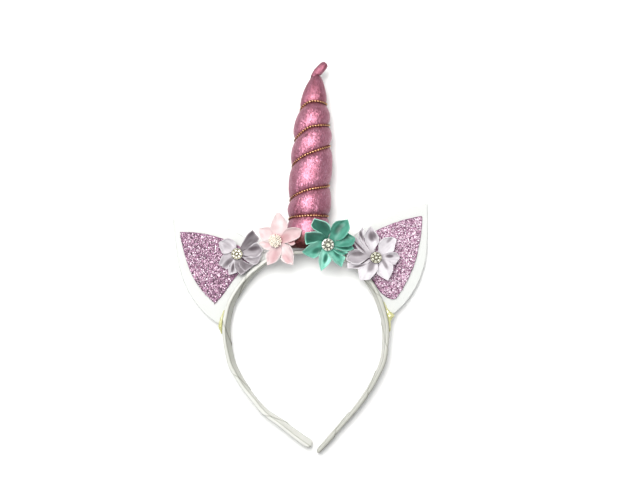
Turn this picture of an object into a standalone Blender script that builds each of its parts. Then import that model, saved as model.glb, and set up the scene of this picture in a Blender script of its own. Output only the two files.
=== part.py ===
"""Unicorn horn headband, lying on its back as it is put down on a table.

The hoop of the band lies level: +X is its right, +Y points from the tips of the arms
to the crown and on along the horn, and +Z is up, towards the side with the flowers.
The floor is Z = 0, and the origin is on the floor in the middle of the outline.
All lengths are in metres.
"""
import math
from collections import namedtuple

import bmesh
import bpy
from mathutils import Matrix, Vector

CLEAR = 0.0003

# Hair band: a strip wound in ribbon, edge up, with the inner face of the arms leaning open
BAND_WIDTH = 0.0090
BAND_THICKNESS = 0.0026
HOOP_HALF_WIDTH = 0.0595
HOOP_HEIGHT = 0.1484
CROWN_Y = 0.00555
CROWN_DROP = 0.0018
TIP_RISE = 0.0045
SEAT_LENGTH = 0.0120
ARM_STEPS = 26

# Horn: a stuffed cone on its side, drawn in by the cord along a right-handed helix
HORN_LENGTH = 0.1270
HORN_RADIUS = 0.0158
HORN_BASE_X = 0.0037
HORN_SEAT = 0.00095
HORN_FLATTEN = 0.00025
HORN_LEAN = math.radians(6.0)
HORN_DROOP = math.radians(0.7)
HORN_COLUMNS = 20
GROOVE_DEPTH = 0.0021
GROOVE_FLOOR = 0.0010
GROOVE_FLANK = 0.0032
CORD_RADIUS = 0.00055
TAIL_RADIUS = 0.0033
TAIL_LENGTH = 0.0126
TAIL_BEND = math.radians(40.0)

# Ears: a felt sheet with a smaller glitter foam sheet on it, glued to the band's outer face
EAR_HEIGHT = 0.0796
EAR_REACH = 0.0308
EAR_TIP_OUT = 0.0052
EAR_TIP_UP = 0.0030
EAR_FOOT = 0.0905
EAR_TOP = 0.0245
FELT_THICKNESS = 0.0015
GLITTER_THICKNESS = 0.0018
GLITTER_CLEAR = 0.0007
EAR_BULGES = {-1: 0.0082, 1: 0.0058}
EAR_STEPS_UP = 10
EAR_STEPS_OUT = 5

# Flowers: petals of folded satin ribbon on a hub, with a gem or a stamen bunch on top
PETAL_REACH = 0.0200
PETAL_THICKNESS = 0.0010
PETAL_ROOT = 0.0022
HUB_RADIUS = 0.0046
HUB_HEIGHT = 0.0034
GEM_RADIUS_TEAL = 0.0045
GEM_RADIUS_LILAC = 0.0040
GEM_CUP_HEIGHT = 0.0010
GEM_LIFT = 0.0003
GEM_RING_STONES = 8
STONE_FACETS = 8
STAMEN_RADIUS = 0.0040
STAMEN_BEAD = 0.0011

# Glue: a bead run into the corner between each ear and the band
GLUE_RADIUS = 0.0011
GLUE_BLOB = 1.7

# Heights above the floor that follow from the horn, which lies on it and carries the crown
CROWN_RISE = HORN_RADIUS - CROWN_DROP

ArmRow = namedtuple("ArmRow", "out down roll")
# out is a share of the hoop's half width, down a share of its height, roll in degrees
LEFT_ARM = [
    ArmRow(0.319, 0.0155, 5), ArmRow(0.590, 0.0775, 14), ArmRow(0.798, 0.1611, 20),
    ArmRow(0.941, 0.2601, 22), ArmRow(1.000, 0.3787, 21), ArmRow(0.968, 0.5094, 20),
    ArmRow(0.850, 0.6321, 12), ArmRow(0.708, 0.7210, 6), ArmRow(0.578, 0.7896, 10),
    ArmRow(0.365, 0.8600, 18), ArmRow(0.153, 0.9330, 24), ArmRow(0.022, 0.9740, 26),
]
RIGHT_ARM = [
    ArmRow(0.319, 0.0100, 5), ArmRow(0.613, 0.0681, 12), ArmRow(0.790, 0.1557, 17),
    ArmRow(0.921, 0.2716, 18), ArmRow(0.982, 0.4077, 16), ArmRow(0.945, 0.5371, 12),
    ArmRow(0.810, 0.6597, 5), ArmRow(0.593, 0.7790, 1), ArmRow(0.333, 0.8902, 0),
    ArmRow(0.044, 1.0080, 0),
]

ProfileRow = namedtuple("ProfileRow", "height radius")
# height is a share of the horn's length, radius a share of its radius
HORN_PROFILE = [
    ProfileRow(0.000, 0.76), ProfileRow(0.030, 0.89), ProfileRow(0.126, 0.97),
    ProfileRow(0.224, 1.00), ProfileRow(0.350, 0.98), ProfileRow(0.488, 0.97),
    ProfileRow(0.563, 0.94), ProfileRow(0.673, 0.89), ProfileRow(0.754, 0.80),
    ProfileRow(0.827, 0.68), ProfileRow(0.910, 0.50), ProfileRow(0.969, 0.34),
    ProfileRow(1.000, 0.22),
]

TailRow = namedtuple("TailRow", "travel bend radius")
# travel is a share of the tail's length, bend of its bend and radius of its radius
TAIL_ROWS = [
    TailRow(0.14, 0.70, 0.92), TailRow(0.30, 0.92, 0.98), TailRow(0.52, 1.00, 1.00),
    TailRow(0.74, 1.03, 0.93), TailRow(0.90, 1.06, 0.72), TailRow(0.98, 1.08, 0.42),
]

TurnRow = namedtuple("TurnRow", "half_turn height")
# Even half turns lie on the horn's left side, odd ones on its right, with the front between
CORD_TURNS = [
    TurnRow(-1, 0.031), TurnRow(0, 0.165), TurnRow(0.5, 0.188), TurnRow(1, 0.194),
    TurnRow(2, 0.272), TurnRow(2.5, 0.337), TurnRow(3, 0.372), TurnRow(4, 0.467),
    TurnRow(4.5, 0.548), TurnRow(5, 0.600), TurnRow(6, 0.620), TurnRow(6.5, 0.698),
    TurnRow(7, 0.720), TurnRow(8, 0.797), TurnRow(8.5, 0.846), TurnRow(9, 0.839),
    TurnRow(10, 0.975),
]

EarRow = namedtuple("EarRow", "up along out rise")
# up runs from the lower tip to the top edge, along is the share of the seam from foot to
# top, out and rise place the outer edge as shares of the ear's reach and height
EAR_ROWS = [
    EarRow(0.00, 0.00, 0.00, 0.000), EarRow(0.15, 0.13, 0.28, 0.090),
    EarRow(0.35, 0.33, 0.64, 0.278), EarRow(0.55, 0.54, 0.873, 0.518),
    EarRow(0.78, 0.77, 0.948, 0.755), EarRow(1.00, 1.00, 1.000, 1.000),
]

GlitterRow = namedtuple("GlitterRow", "up strip border")
# strip and border are the felt that shows inside and outside the glitter, as shares of the
# ear's reach, from the glitter's lower tip to its top edge
GLITTER_ROWS = [
    GlitterRow(0.325, 0.340, 0.590), GlitterRow(0.370, 0.260, 0.450),
    GlitterRow(0.420, 0.215, 0.370), GlitterRow(0.520, 0.200, 0.300),
    GlitterRow(0.640, 0.195, 0.235), GlitterRow(0.800, 0.190, 0.170),
    GlitterRow(0.965, 0.190, 0.145),
]
GLITTER_DIP = 0.022

PetalRow = namedtuple("PetalRow", "share breadth curl")
# share runs from the petal's root to its tip, breadth is a share of its half width, and
# curl is how much of its cup and twist it has there
PETAL_OUTLINE = [
    PetalRow(0.00, 0.42, 0.10), PetalRow(0.28, 0.80, 0.60), PetalRow(0.55, 1.00, 1.00),
    PetalRow(0.80, 0.72, 1.00), PetalRow(1.00, 0.16, 0.80),
]

Petal = namedtuple("Petal", "angle reach width lift cup twist")
# angle in degrees from +X in the flower's own plane, then shares of a petal's usual reach,
# and twist, the slope across the petal that lets one edge pass under its neighbour
TEAL_PETALS = [
    Petal(53, 1.210, 0.525, 0.110, 0.100, -0.42),
    Petal(117, 1.085, 0.475, 0.110, 0.100, -0.42),
    Petal(154, 1.005, 0.450, 0.080, 0.100, -0.42),
    Petal(196, 0.970, 0.450, 0.080, 0.090, -0.42),
    Petal(256, 0.980, 0.525, 0.080, 0.100, -0.42),
    Petal(304, 0.965, 0.475, 0.060, 0.090, -0.42),
    Petal(348, 1.015, 0.375, 0.050, 0.070, -0.42),
    Petal(18, 1.075, 0.425, 0.070, 0.090, -0.42),
]
PINK_PETALS = [
    Petal(85, 1.035, 0.500, 0.030, 0.080, 0.20),
    Petal(146, 0.730, 0.550, 0.030, 0.060, 0.15),
    Petal(190, 0.650, 0.425, 0.040, 0.060, 0.15),
    Petal(251, 0.970, 0.525, -0.040, 0.090, 0.20),
    Petal(302, 1.055, 0.525, -0.040, 0.090, 0.20),
    Petal(15, 0.975, 0.525, 0.050, 0.070, 0.20),
]
LILAC_LEFT_PETALS = [
    Petal(49, 1.015, 0.450, 0.010, 0.040, 0.10),
    Petal(140, 0.760, 0.575, 0.010, 0.070, 0.15),
    Petal(212, 0.760, 0.450, 0.020, 0.040, 0.10),
    Petal(256, 0.810, 0.325, 0.040, 0.080, 0.20),
    Petal(290, 0.790, 0.375, 0.080, 0.040, 0.10),
    Petal(326, 0.785, 0.325, 0.090, 0.040, 0.10),
    Petal(2, 0.930, 0.425, 0.020, 0.050, 0.20),
]
LILAC_RIGHT_PETALS = [
    Petal(46, 0.985, 0.525, 0.020, 0.070, 0.15),
    Petal(104, 1.200, 0.425, 0.030, 0.090, 0.30),
    Petal(135, 1.125, 0.300, 0.010, 0.050, 0.30),
    Petal(183, 1.085, 0.450, 0.100, 0.080, 0.30),
    Petal(236, 1.040, 0.500, 0.100, 0.070, 0.20),
    Petal(298, 0.970, 0.425, 0.030, 0.060, 0.15),
    Petal(4, 0.850, 0.400, 0.020, 0.080, 0.15),
]

Flower = namedtuple("Flower", "name side travel out seat lift tilt downhill petals colour")
# side and travel pick a place on the arms, and out is the distance outside the band, both
# as shares of the hoop's half width. seat is what the flower is glued to, and lift its
# height over the crown as a share of the horn's radius or, on an ear, of the band's half
# width. tilt leans it down towards the direction downhill, both in degrees
FLOWERS = [
    Flower("flower_lilac_left", -1, 0.662, 0.297, "ear", 0.90, 2, 170,
           LILAC_LEFT_PETALS, "lilac"),
    Flower("flower_pink", -1, 0.256, 0.193, "horn", 0.652, 17, 205, PINK_PETALS,
           "pink"),
    Flower("flower_teal", 1, 0.292, 0.101, "horn", 0.832, 17, -30, TEAL_PETALS,
           "teal"),
    Flower("flower_lilac_right", 1, 0.787, 0.245, "ear", 0.86, 2, 10,
           LILAC_RIGHT_PETALS, "lilac"),
]

Paint = namedtuple("Paint", "red green blue roughness metallic")
PAINTS = {
    "satin": Paint(0.86, 0.86, 0.84, 0.38, 0.0),
    "foil": Paint(0.55, 0.17, 0.27, 0.35, 0.75),
    "gold": Paint(0.50, 0.24, 0.06, 0.40, 0.60),
    "felt": Paint(0.93, 0.94, 0.92, 0.95, 0.0),
    "glitter": Paint(0.52, 0.24, 0.44, 0.40, 0.35),
    "lilac": Paint(0.72, 0.64, 0.74, 0.40, 0.0),
    "pink": Paint(0.93, 0.66, 0.68, 0.45, 0.0),
    "teal": Paint(0.10, 0.42, 0.32, 0.38, 0.0),
    "gem": Paint(0.88, 0.88, 0.72, 0.10, 0.20),
    "stamen": Paint(0.95, 0.86, 0.70, 0.60, 0.0),
    "glue": Paint(0.72, 0.70, 0.30, 0.30, 0.0),
}


def slope_between(before, after, gap_before, gap_after):
    """Slope at a row from the slopes on both sides of it, flat at a turning point."""
    if before * after <= 0:
        return 0.0
    weight_before = 2 * gap_after + gap_before
    weight_after = gap_after + 2 * gap_before
    return (weight_before + weight_after) / (weight_before / before + weight_after / after)


def read_smooth(places, values, place):
    """Smooth value at a place, through rows of rising places, and straight on past them."""
    gaps = [b - a for a, b in zip(places, places[1:])]
    rises = [(b - a) / gap for a, b, gap in zip(values, values[1:], gaps)]
    if place <= places[0]:
        return values[0] + (place - places[0]) * rises[0]
    if place >= places[-1]:
        return values[-1] + (place - places[-1]) * rises[-1]
    slopes = [rises[0]]
    for i in range(1, len(rises)):
        slopes.append(slope_between(rises[i - 1], rises[i], gaps[i - 1], gaps[i]))
    slopes.append(rises[-1])
    i = max(j for j in range(len(gaps)) if places[j] <= place)
    t = (place - places[i]) / gaps[i]
    start = (1 + 2 * t) * (1 - t) ** 2
    end = t * t * (3 - 2 * t)
    lean_start = gaps[i] * t * (1 - t) ** 2
    lean_end = gaps[i] * t * t * (t - 1)
    return (start * values[i] + end * values[i + 1]
            + lean_start * slopes[i] + lean_end * slopes[i + 1])


def read_table(rows, place_name, value_name, place):
    """Smooth value of one named column of a table at a place in another."""
    places = [getattr(row, place_name) for row in rows]
    values = [getattr(row, value_name) for row in rows]
    return read_smooth(places, values, place)


class Arm:
    """One arm of the band: where its centre is after any travel from the crown."""

    def __init__(self, side, rows):
        self.side = side
        half_seat = SEAT_LENGTH / 2
        self.outs = [0.0, half_seat] + [row.out * HOOP_HALF_WIDTH for row in rows]
        self.downs = [0.0, 0.0] + [row.down * HOOP_HEIGHT for row in rows]
        self.rolls = [0.0, 0.0] + [float(row.roll) for row in rows]
        self.travels = [0.0]
        for i in range(1, len(self.outs)):
            step = math.hypot(self.outs[i] - self.outs[i - 1], self.downs[i] - self.downs[i - 1])
            self.travels.append(self.travels[-1] + step)
        self.length = self.travels[-1]

    def centre(self, travel):
        out = read_smooth(self.travels, self.outs, travel)
        down = read_smooth(self.travels, self.downs, travel)
        rise = CROWN_RISE + (TIP_RISE - CROWN_RISE) * down / HOOP_HEIGHT
        return Vector((self.side * out, CROWN_Y - down, rise))

    def roll(self, travel):
        return math.radians(read_smooth(self.travels, self.rolls, travel))

    def outward(self, travel):
        """Level direction away from the inside of the hoop."""
        small = 0.0005
        ahead = self.centre(travel + small) - self.centre(max(travel - small, 0.0))
        return Vector((-self.side * ahead.y, self.side * ahead.x, 0.0)).normalized()

    def outer_face(self, travel, height):
        """Distance of the outer face from the centre, at a height above the centre."""
        roll = self.roll(travel)
        return BAND_THICKNESS / 2 / math.cos(roll) + height * math.tan(roll)


ARMS = {-1: Arm(-1, LEFT_ARM), 1: Arm(1, RIGHT_ARM)}


def new_collection(name):
    collection = bpy.data.collections.new(name)
    bpy.context.scene.collection.children.link(collection)
    return collection


def finish_material(name):
    """Principled material of one of the paints."""
    material = bpy.data.materials.get(name)
    if material is None:
        paint = PAINTS[name]
        material = bpy.data.materials.new(name)
        material.use_nodes = True
        shader = material.node_tree.nodes["Principled BSDF"]
        shader.inputs["Base Color"].default_value = (paint.red, paint.green, paint.blue, 1.0)
        shader.inputs["Roughness"].default_value = paint.roughness
        shader.inputs["Metallic"].default_value = paint.metallic
        material.diffuse_color = (paint.red, paint.green, paint.blue, 1.0)
    return material


def new_object(name, data, collection, paint):
    piece = bpy.data.objects.new(name, data)
    collection.objects.link(piece)
    data.materials.append(finish_material(paint))
    return piece


def mesh_from(bm, name, smooth_angle=35.0):
    bmesh.ops.recalc_face_normals(bm, faces=bm.faces)
    mesh = bpy.data.meshes.new(name)
    bm.to_mesh(mesh)
    bm.free()
    mesh.shade_smooth()
    mesh.set_sharp_from_angle(angle=math.radians(smooth_angle))
    return mesh


def loft_mesh(rings, name):
    """Closed mesh through rings of equally many points, with a flat cap at each end."""
    bm = bmesh.new()
    loops = [[bm.verts.new(point) for point in ring] for ring in rings]
    for near, far in zip(loops, loops[1:]):
        for i in range(len(near)):
            j = (i + 1) % len(near)
            bm.faces.new((near[i], near[j], far[j], far[i]))
    bm.faces.new(loops[0])
    bm.faces.new(loops[-1])
    return mesh_from(bm, name)


def sheet_mesh(points, name):
    """Open surface through a grid of points, given row by row."""
    bm = bmesh.new()
    grid = [[bm.verts.new(point) for point in row] for row in points]
    for low, high in zip(grid, grid[1:]):
        for i in range(len(low) - 1):
            bm.faces.new((low[i], low[i + 1], high[i + 1], high[i]))
    return mesh_from(bm, name)


def add_thickness(piece, thickness):
    solidify = piece.modifiers.new("thickness", "SOLIDIFY")
    solidify.thickness = thickness
    solidify.offset = 0.0


def join_all(piece, operands):
    """Unite a piece with every object of a collection into one body."""
    union = piece.modifiers.new("join", "BOOLEAN")
    union.operation = "UNION"
    union.solver = "EXACT"
    union.operand_type = "COLLECTION"
    union.collection = operands


def mark_operand(piece):
    piece.hide_render = True
    piece.display_type = "WIRE"


def band_ring(arm, travel, taper):
    """Cross-section of the band, a flat strip with rounded edges, turned by its roll."""
    centre = arm.centre(travel)
    small = 0.0005
    ahead = (arm.centre(travel + small) - arm.centre(max(travel - small, 0.0))).normalized()
    outward = arm.outward(travel)
    up = (ahead.cross(outward) * arm.side).normalized()
    roll = arm.roll(travel)
    across = outward * math.cos(roll) - up * math.sin(roll)
    along_width = up * math.cos(roll) + outward * math.sin(roll)
    half_width = BAND_WIDTH / 2 * (1 - 0.45 * taper)
    half_thickness = BAND_THICKNESS / 2 * (1 - 0.45 * taper)
    shoulder = half_width - half_thickness * 0.7
    outline = [
        (half_thickness, shoulder), (half_thickness * 0.5, half_width),
        (-half_thickness * 0.5, half_width), (-half_thickness, shoulder),
        (-half_thickness, -shoulder), (-half_thickness * 0.5, -half_width),
        (half_thickness * 0.5, -half_width), (half_thickness, -shoulder),
    ]
    return [centre + across * a + along_width * b for a, b in outline]


def arm_rings(arm):
    """Rings from the end of the seat to the tip, the last ones drawn in to a round end."""
    start = SEAT_LENGTH / 2
    end_round = BAND_WIDTH * 0.3
    body_end = arm.length - end_round
    rings = []
    for i in range(ARM_STEPS + 1):
        rings.append(band_ring(arm, start + (body_end - start) * i / ARM_STEPS, 0.0))
    rings.append(band_ring(arm, arm.length - end_round * 0.35, 0.35))
    rings.append(band_ring(arm, arm.length, 1.0))
    return rings


def make_band(parts):
    left = arm_rings(ARMS[-1])
    right = arm_rings(ARMS[1])
    mesh = loft_mesh(left[::-1] + right, "band")
    new_object("band", mesh, parts, "satin")


def horn_frame():
    """Where the horn's base is, and its directions: along it, across it and up from it."""
    along = Vector((math.sin(HORN_LEAN), math.cos(HORN_LEAN), 0.0)) * math.cos(HORN_DROOP)
    along.z = -math.sin(HORN_DROOP)
    across = Vector((math.cos(HORN_LEAN), -math.sin(HORN_LEAN), 0.0))
    up = across.cross(along)
    base_y = CROWN_Y + BAND_THICKNESS / 2 + HORN_SEAT
    belly = max(HORN_PROFILE, key=lambda row: row.radius).height * HORN_LENGTH
    base_z = HORN_RADIUS + belly * math.sin(HORN_DROOP) - HORN_FLATTEN
    return Vector((HORN_BASE_X, base_y, base_z)), along, across, up


def cord_height(half_turn):
    """Height of the cord above the horn's base after so many half turns."""
    return read_table(CORD_TURNS, "half_turn", "height", half_turn) * HORN_LENGTH


def horn_girth(height):
    return read_table(HORN_PROFILE, "height", "radius", height / HORN_LENGTH) * HORN_RADIUS


def groove_depth(height):
    return GROOVE_DEPTH * min(1.0, horn_girth(height) / HORN_RADIUS * 1.3)


def around(frame, height, radius, half_turn):
    """Point on the horn at a height, a radius and a turn that starts on its left."""
    base, along, across, up = frame
    angle = math.pi * half_turn
    return base + along * height + (up * math.sin(angle) - across * math.cos(angle)) * radius


def horn_column(half_turn):
    """Heights and radii up one side of the horn, drawn in wherever the cord passes."""
    first = CORD_TURNS[0].half_turn - 2
    last = CORD_TURNS[-1].half_turn + 2
    passes = [cord_height(half_turn + 2 * turn) for turn in range(first // 2, last // 2 + 1)]
    column = []
    for low, high in zip(passes, passes[1:]):
        middle = (low + high) / 2
        for height, share in ((low, 1.0), (low + GROOVE_FLOOR, 0.9), (low + GROOVE_FLANK, 0.4),
                              (middle, 0.0), (high - GROOVE_FLANK, 0.4), (high - GROOVE_FLOOR, 0.9)):
            column.append((height, share))
    return column


def horn_ring_points(frame):
    """Grid of points that follows the helix: columns round the horn, rows up it."""
    columns = []
    for c in range(HORN_COLUMNS):
        half_turn = 2.0 * c / HORN_COLUMNS
        column = []
        for height, share in horn_column(half_turn):
            height = min(max(height, 0.0), HORN_LENGTH)
            if height < 2 * GROOVE_FLOOR:
                height = 0.0
            if height > HORN_LENGTH - 2 * GROOVE_FLOOR:
                height = HORN_LENGTH
            inside = 0.0 < height < HORN_LENGTH
            depth = groove_depth(height) * share if inside else 0.0
            point = around(frame, height, horn_girth(height) - depth, half_turn)
            point.z = max(point.z, 0.0)
            column.append((height, point))
        columns.append(column)
    return columns


def horn_tail_rings(frame):
    """Rings of the bent tail at the tip, from its root on."""
    base, along, across, up = frame
    centre = base + along * HORN_LENGTH
    travel = 0.0
    rings = []
    for row in TAIL_ROWS:
        bend = TAIL_BEND * row.bend
        facing = along * math.cos(bend) + across * math.sin(bend)
        side = across * math.cos(bend) - along * math.sin(bend)
        centre = centre + facing * (TAIL_LENGTH * (row.travel - travel))
        travel = row.travel
        radius = TAIL_RADIUS * row.radius
        ring = []
        for c in range(HORN_COLUMNS):
            angle = 2 * math.pi * c / HORN_COLUMNS
            ring.append(centre + (up * math.sin(angle) - side * math.cos(angle)) * radius)
        rings.append(ring)
    return rings


def make_horn(parts):
    """Body whose faces run along the helix, so that the cord's groove stays sharp."""
    frame = horn_frame()
    columns = horn_ring_points(frame)
    rows_per_turn = 6
    bm = bmesh.new()
    known = {}

    def vert(c, g):
        if c == HORN_COLUMNS:
            c = 0
            g = g + rows_per_turn
        height, point = columns[c][min(g, len(columns[c]) - 1)]
        key = (c, round(height, 7))
        if key not in known:
            known[key] = bm.verts.new(point)
        return known[key]

    for c in range(HORN_COLUMNS):
        for g in range(-rows_per_turn, len(columns[0]) - 1):
            corners = []
            for column, row in ((c, g), (c + 1, g), (c + 1, g + 1), (c, g + 1)):
                corner = vert(column, max(row, -rows_per_turn if column == HORN_COLUMNS else 0))
                if corner not in corners:
                    corners.append(corner)
            if len(corners) > 2:
                bm.faces.new(corners)
    base_ring = [known[(c, 0.0)] for c in range(HORN_COLUMNS)]
    bm.faces.new(base_ring)
    last = [known[(c, round(HORN_LENGTH, 7))] for c in range(HORN_COLUMNS)]
    for ring in horn_tail_rings(frame):
        loop = [bm.verts.new(point) for point in ring]
        for c in range(HORN_COLUMNS):
            d = (c + 1) % HORN_COLUMNS
            bm.faces.new((last[c], last[d], loop[d], loop[c]))
        last = loop
    bm.faces.new(last)
    new_object("horn", mesh_from(bm, "horn", 50.0), parts, "foil")


def make_horn_cord(parts):
    """The cord as one tube that lies in the groove, with a point at each column."""
    frame = horn_frame()
    first = CORD_TURNS[0].half_turn
    last = CORD_TURNS[-1].half_turn
    steps = (last - first) * HORN_COLUMNS // 2
    curve = bpy.data.curves.new("horn_cord", "CURVE")
    curve.dimensions = "3D"
    curve.bevel_depth = CORD_RADIUS
    curve.bevel_resolution = 2
    curve.use_fill_caps = True
    spline = curve.splines.new("POLY")
    spline.points.add(steps)
    for i in range(steps + 1):
        half_turn = first + 2.0 * i / HORN_COLUMNS
        height = cord_height(half_turn)
        radius = horn_girth(height) - groove_depth(height) + CORD_RADIUS + CLEAR * 1.6
        spline.points[i].co = (*around(frame, height, radius, half_turn), 1.0)
    new_object("horn_cord", curve, parts, "gold")


def ear_seam(side, up):
    """Where the felt meets the band's outer face, from the ear's lower tip up."""
    arm = ARMS[side]
    foot_to_top = read_table(EAR_ROWS, "up", "along", up)
    travel = EAR_FOOT + (EAR_TOP - EAR_FOOT) * foot_to_top
    face = arm.outer_face(travel, FELT_THICKNESS) + CLEAR
    return arm.centre(travel) + arm.outward(travel) * face


def ear_point(side, up, out):
    """Point in the middle of the felt: up from lower tip to top edge, out from the seam."""
    seam = ear_seam(side, up)
    foot = ear_seam(side, 0.0)
    reach = EAR_TIP_OUT + read_table(EAR_ROWS, "up", "out", up) * EAR_REACH
    rise = EAR_TIP_UP + read_table(EAR_ROWS, "up", "rise", up) * EAR_HEIGHT
    edge = Vector((side * (HOOP_HALF_WIDTH + reach), foot.y + rise, 0.0))
    run = edge - seam
    run.z = 0.0
    bulge = Vector((-side * run.y, side * run.x, 0.0)).normalized()
    point = seam + run * out + bulge * (EAR_BULGES[side] * 4 * out * (1 - out) * up ** 3)
    apex_run = HOOP_HALF_WIDTH + EAR_TIP_OUT + EAR_REACH - EAR_TOP
    fall = seam.z - FELT_THICKNESS / 2
    point.z = seam.z - fall * min(1.0, run.length * out / apex_run)
    return point


def felt_points(side):
    """Grid of points of the felt, from its lower tip to its top edge."""
    points = []
    for i in range(EAR_STEPS_UP + 1):
        up = i / EAR_STEPS_UP
        points.append([ear_point(side, up, j / EAR_STEPS_OUT) for j in range(EAR_STEPS_OUT + 1)])
    return points


def glitter_points(side):
    """Grid of points of the glitter, which leaves a border of felt all round."""
    lift = Vector((0.0, 0.0, (FELT_THICKNESS + GLITTER_THICKNESS) / 2 + GLITTER_CLEAR))
    low = GLITTER_ROWS[0].up
    high = GLITTER_ROWS[-1].up
    points = []
    for i in range(EAR_STEPS_UP + 1):
        row = []
        for j in range(EAR_STEPS_OUT + 1):
            share = j / EAR_STEPS_OUT
            top = high - GLITTER_DIP * share ** 2
            up = low + (top - low) * (i / EAR_STEPS_UP) ** 1.4
            width = (ear_point(side, up, 1.0) - ear_point(side, up, 0.0)).length
            start = read_table(GLITTER_ROWS, "up", "strip", up) * EAR_REACH / width
            border = read_table(GLITTER_ROWS, "up", "border", up) * EAR_REACH / width
            row.append(ear_point(side, up, start + (1 - border - start) * share) + lift)
        points.append(row)
    return points


def ear_top(side, place):
    """Highest point of the ear's glitter under a flower's hub."""
    steps = 40
    heights = []
    for i in range(steps + 1):
        for j in range(steps + 1):
            point = ear_point(side, i / steps, j / steps)
            if (point.xy - place.xy).length < HUB_RADIUS:
                heights.append(point.z)
    return max(heights) + FELT_THICKNESS / 2 + GLITTER_CLEAR + GLITTER_THICKNESS


def make_ear(parts, side, name):
    felt = sheet_mesh(felt_points(side), name + "_felt")
    add_thickness(new_object(name + "_felt", felt, parts, "felt"), FELT_THICKNESS)
    glitter = sheet_mesh(glitter_points(side), name + "_glitter")
    add_thickness(new_object(name + "_glitter", glitter, parts, "glitter"), GLITTER_THICKNESS)


def flower_frame(flower):
    """Place and lean of a flower: its own +Z is the way that it faces."""
    downhill = math.radians(flower.downhill)
    axis = Vector((-math.sin(downhill), math.cos(downhill), 0.0))
    arm = ARMS[flower.side]
    travel = flower.travel * HOOP_HALF_WIDTH
    place = arm.centre(travel) + arm.outward(travel) * flower.out * HOOP_HALF_WIDTH
    measure = HORN_RADIUS if flower.seat == "horn" else BAND_WIDTH / 2
    place.z = CROWN_RISE + flower.lift * measure
    return Matrix.Translation(place) @ Matrix.Rotation(math.radians(flower.tilt), 4, axis)


def petal_points(petal):
    """Grid of points of one cupped petal, which is narrow at its root and pointed."""
    turn = Matrix.Rotation(math.radians(petal.angle), 4, "Z")
    reach = petal.reach * PETAL_REACH
    half_width = petal.width * PETAL_REACH / 2
    points = []
    for outline in PETAL_OUTLINE:
        radius = PETAL_ROOT + (reach - PETAL_ROOT) * outline.share
        row = []
        for j in range(-2, 3):
            across = j / 2
            aside = across * outline.breadth * half_width
            rim = petal.cup * PETAL_REACH * across ** 2 * outline.breadth
            rise = petal.lift * PETAL_REACH * outline.share ** 1.5
            height = rise + (rim + petal.twist * aside) * outline.curl
            row.append(turn @ Vector((radius, aside, height)))
        points.append(row)
    return points


def make_flower(parts, flower, operands):
    frame = flower_frame(flower)
    petals = bpy.data.collections.new(flower.name + "_petals")
    operands.children.link(petals)
    for i, petal in enumerate(flower.petals):
        name = "%s_petal_%d" % (flower.name, i + 1)
        piece = new_object(name, sheet_mesh(petal_points(petal), name), petals, flower.colour)
        add_thickness(piece, PETAL_THICKNESS)
        piece.matrix_world = frame
        mark_operand(piece)
    bottom = -HUB_HEIGHT / 2
    if flower.seat == "ear":
        bottom = ear_top(flower.side, frame.translation) + CLEAR - frame.translation.z
    depth = HUB_HEIGHT / 2 - bottom
    bm = bmesh.new()
    place = Matrix.Translation((0.0, 0.0, bottom + depth / 2))
    bmesh.ops.create_cone(bm, cap_ends=True, segments=12, radius1=HUB_RADIUS * 0.8,
                          radius2=HUB_RADIUS, depth=depth, matrix=place)
    hub = new_object(flower.name, mesh_from(bm, flower.name), parts, flower.colour)
    hub.matrix_world = frame
    join_all(hub, petals)


def add_stone(bm, x, y, z, radius, height):
    """Cut stone: a ring of facets up to a flat table."""
    place = Matrix.Translation((x, y, z + height / 2))
    bmesh.ops.create_cone(bm, cap_ends=True, segments=STONE_FACETS, radius1=radius,
                          radius2=radius * 0.55, depth=height, matrix=place)


def new_operand(name, bm, frame, operands, paint):
    piece = new_object(name, mesh_from(bm, name), operands, paint)
    piece.matrix_world = frame
    mark_operand(piece)


def make_gem(parts, name, flower, radius, operands):
    """Round setting with a ring of small stones about a larger one, all in one body."""
    frame = flower_frame(flower) @ Matrix.Translation((0.0, 0.0, HUB_HEIGHT / 2 + GEM_LIFT))
    stones = bpy.data.collections.new(name + "_stones")
    operands.children.link(stones)
    bm = bmesh.new()
    add_stone(bm, 0.0, 0.0, GEM_CUP_HEIGHT * 0.8, radius * 0.42, radius * 0.42)
    new_operand(name + "_middle", bm, frame, stones, "gem")
    for i in range(GEM_RING_STONES):
        angle = 2 * math.pi * i / GEM_RING_STONES
        bm = bmesh.new()
        ring = radius * 0.73
        add_stone(bm, ring * math.cos(angle), ring * math.sin(angle), GEM_CUP_HEIGHT * 0.8,
                  radius * 0.24, radius * 0.28)
        new_operand("%s_stone_%d" % (name, i + 1), bm, frame, stones, "gem")
    bm = bmesh.new()
    place = Matrix.Translation((0.0, 0.0, GEM_CUP_HEIGHT / 2))
    bmesh.ops.create_cone(bm, cap_ends=True, segments=16, radius1=radius * 0.9,
                          radius2=radius, depth=GEM_CUP_HEIGHT, matrix=place)
    cup = new_object(name, mesh_from(bm, name), parts, "gem")
    cup.matrix_world = frame
    join_all(cup, stones)


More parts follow.
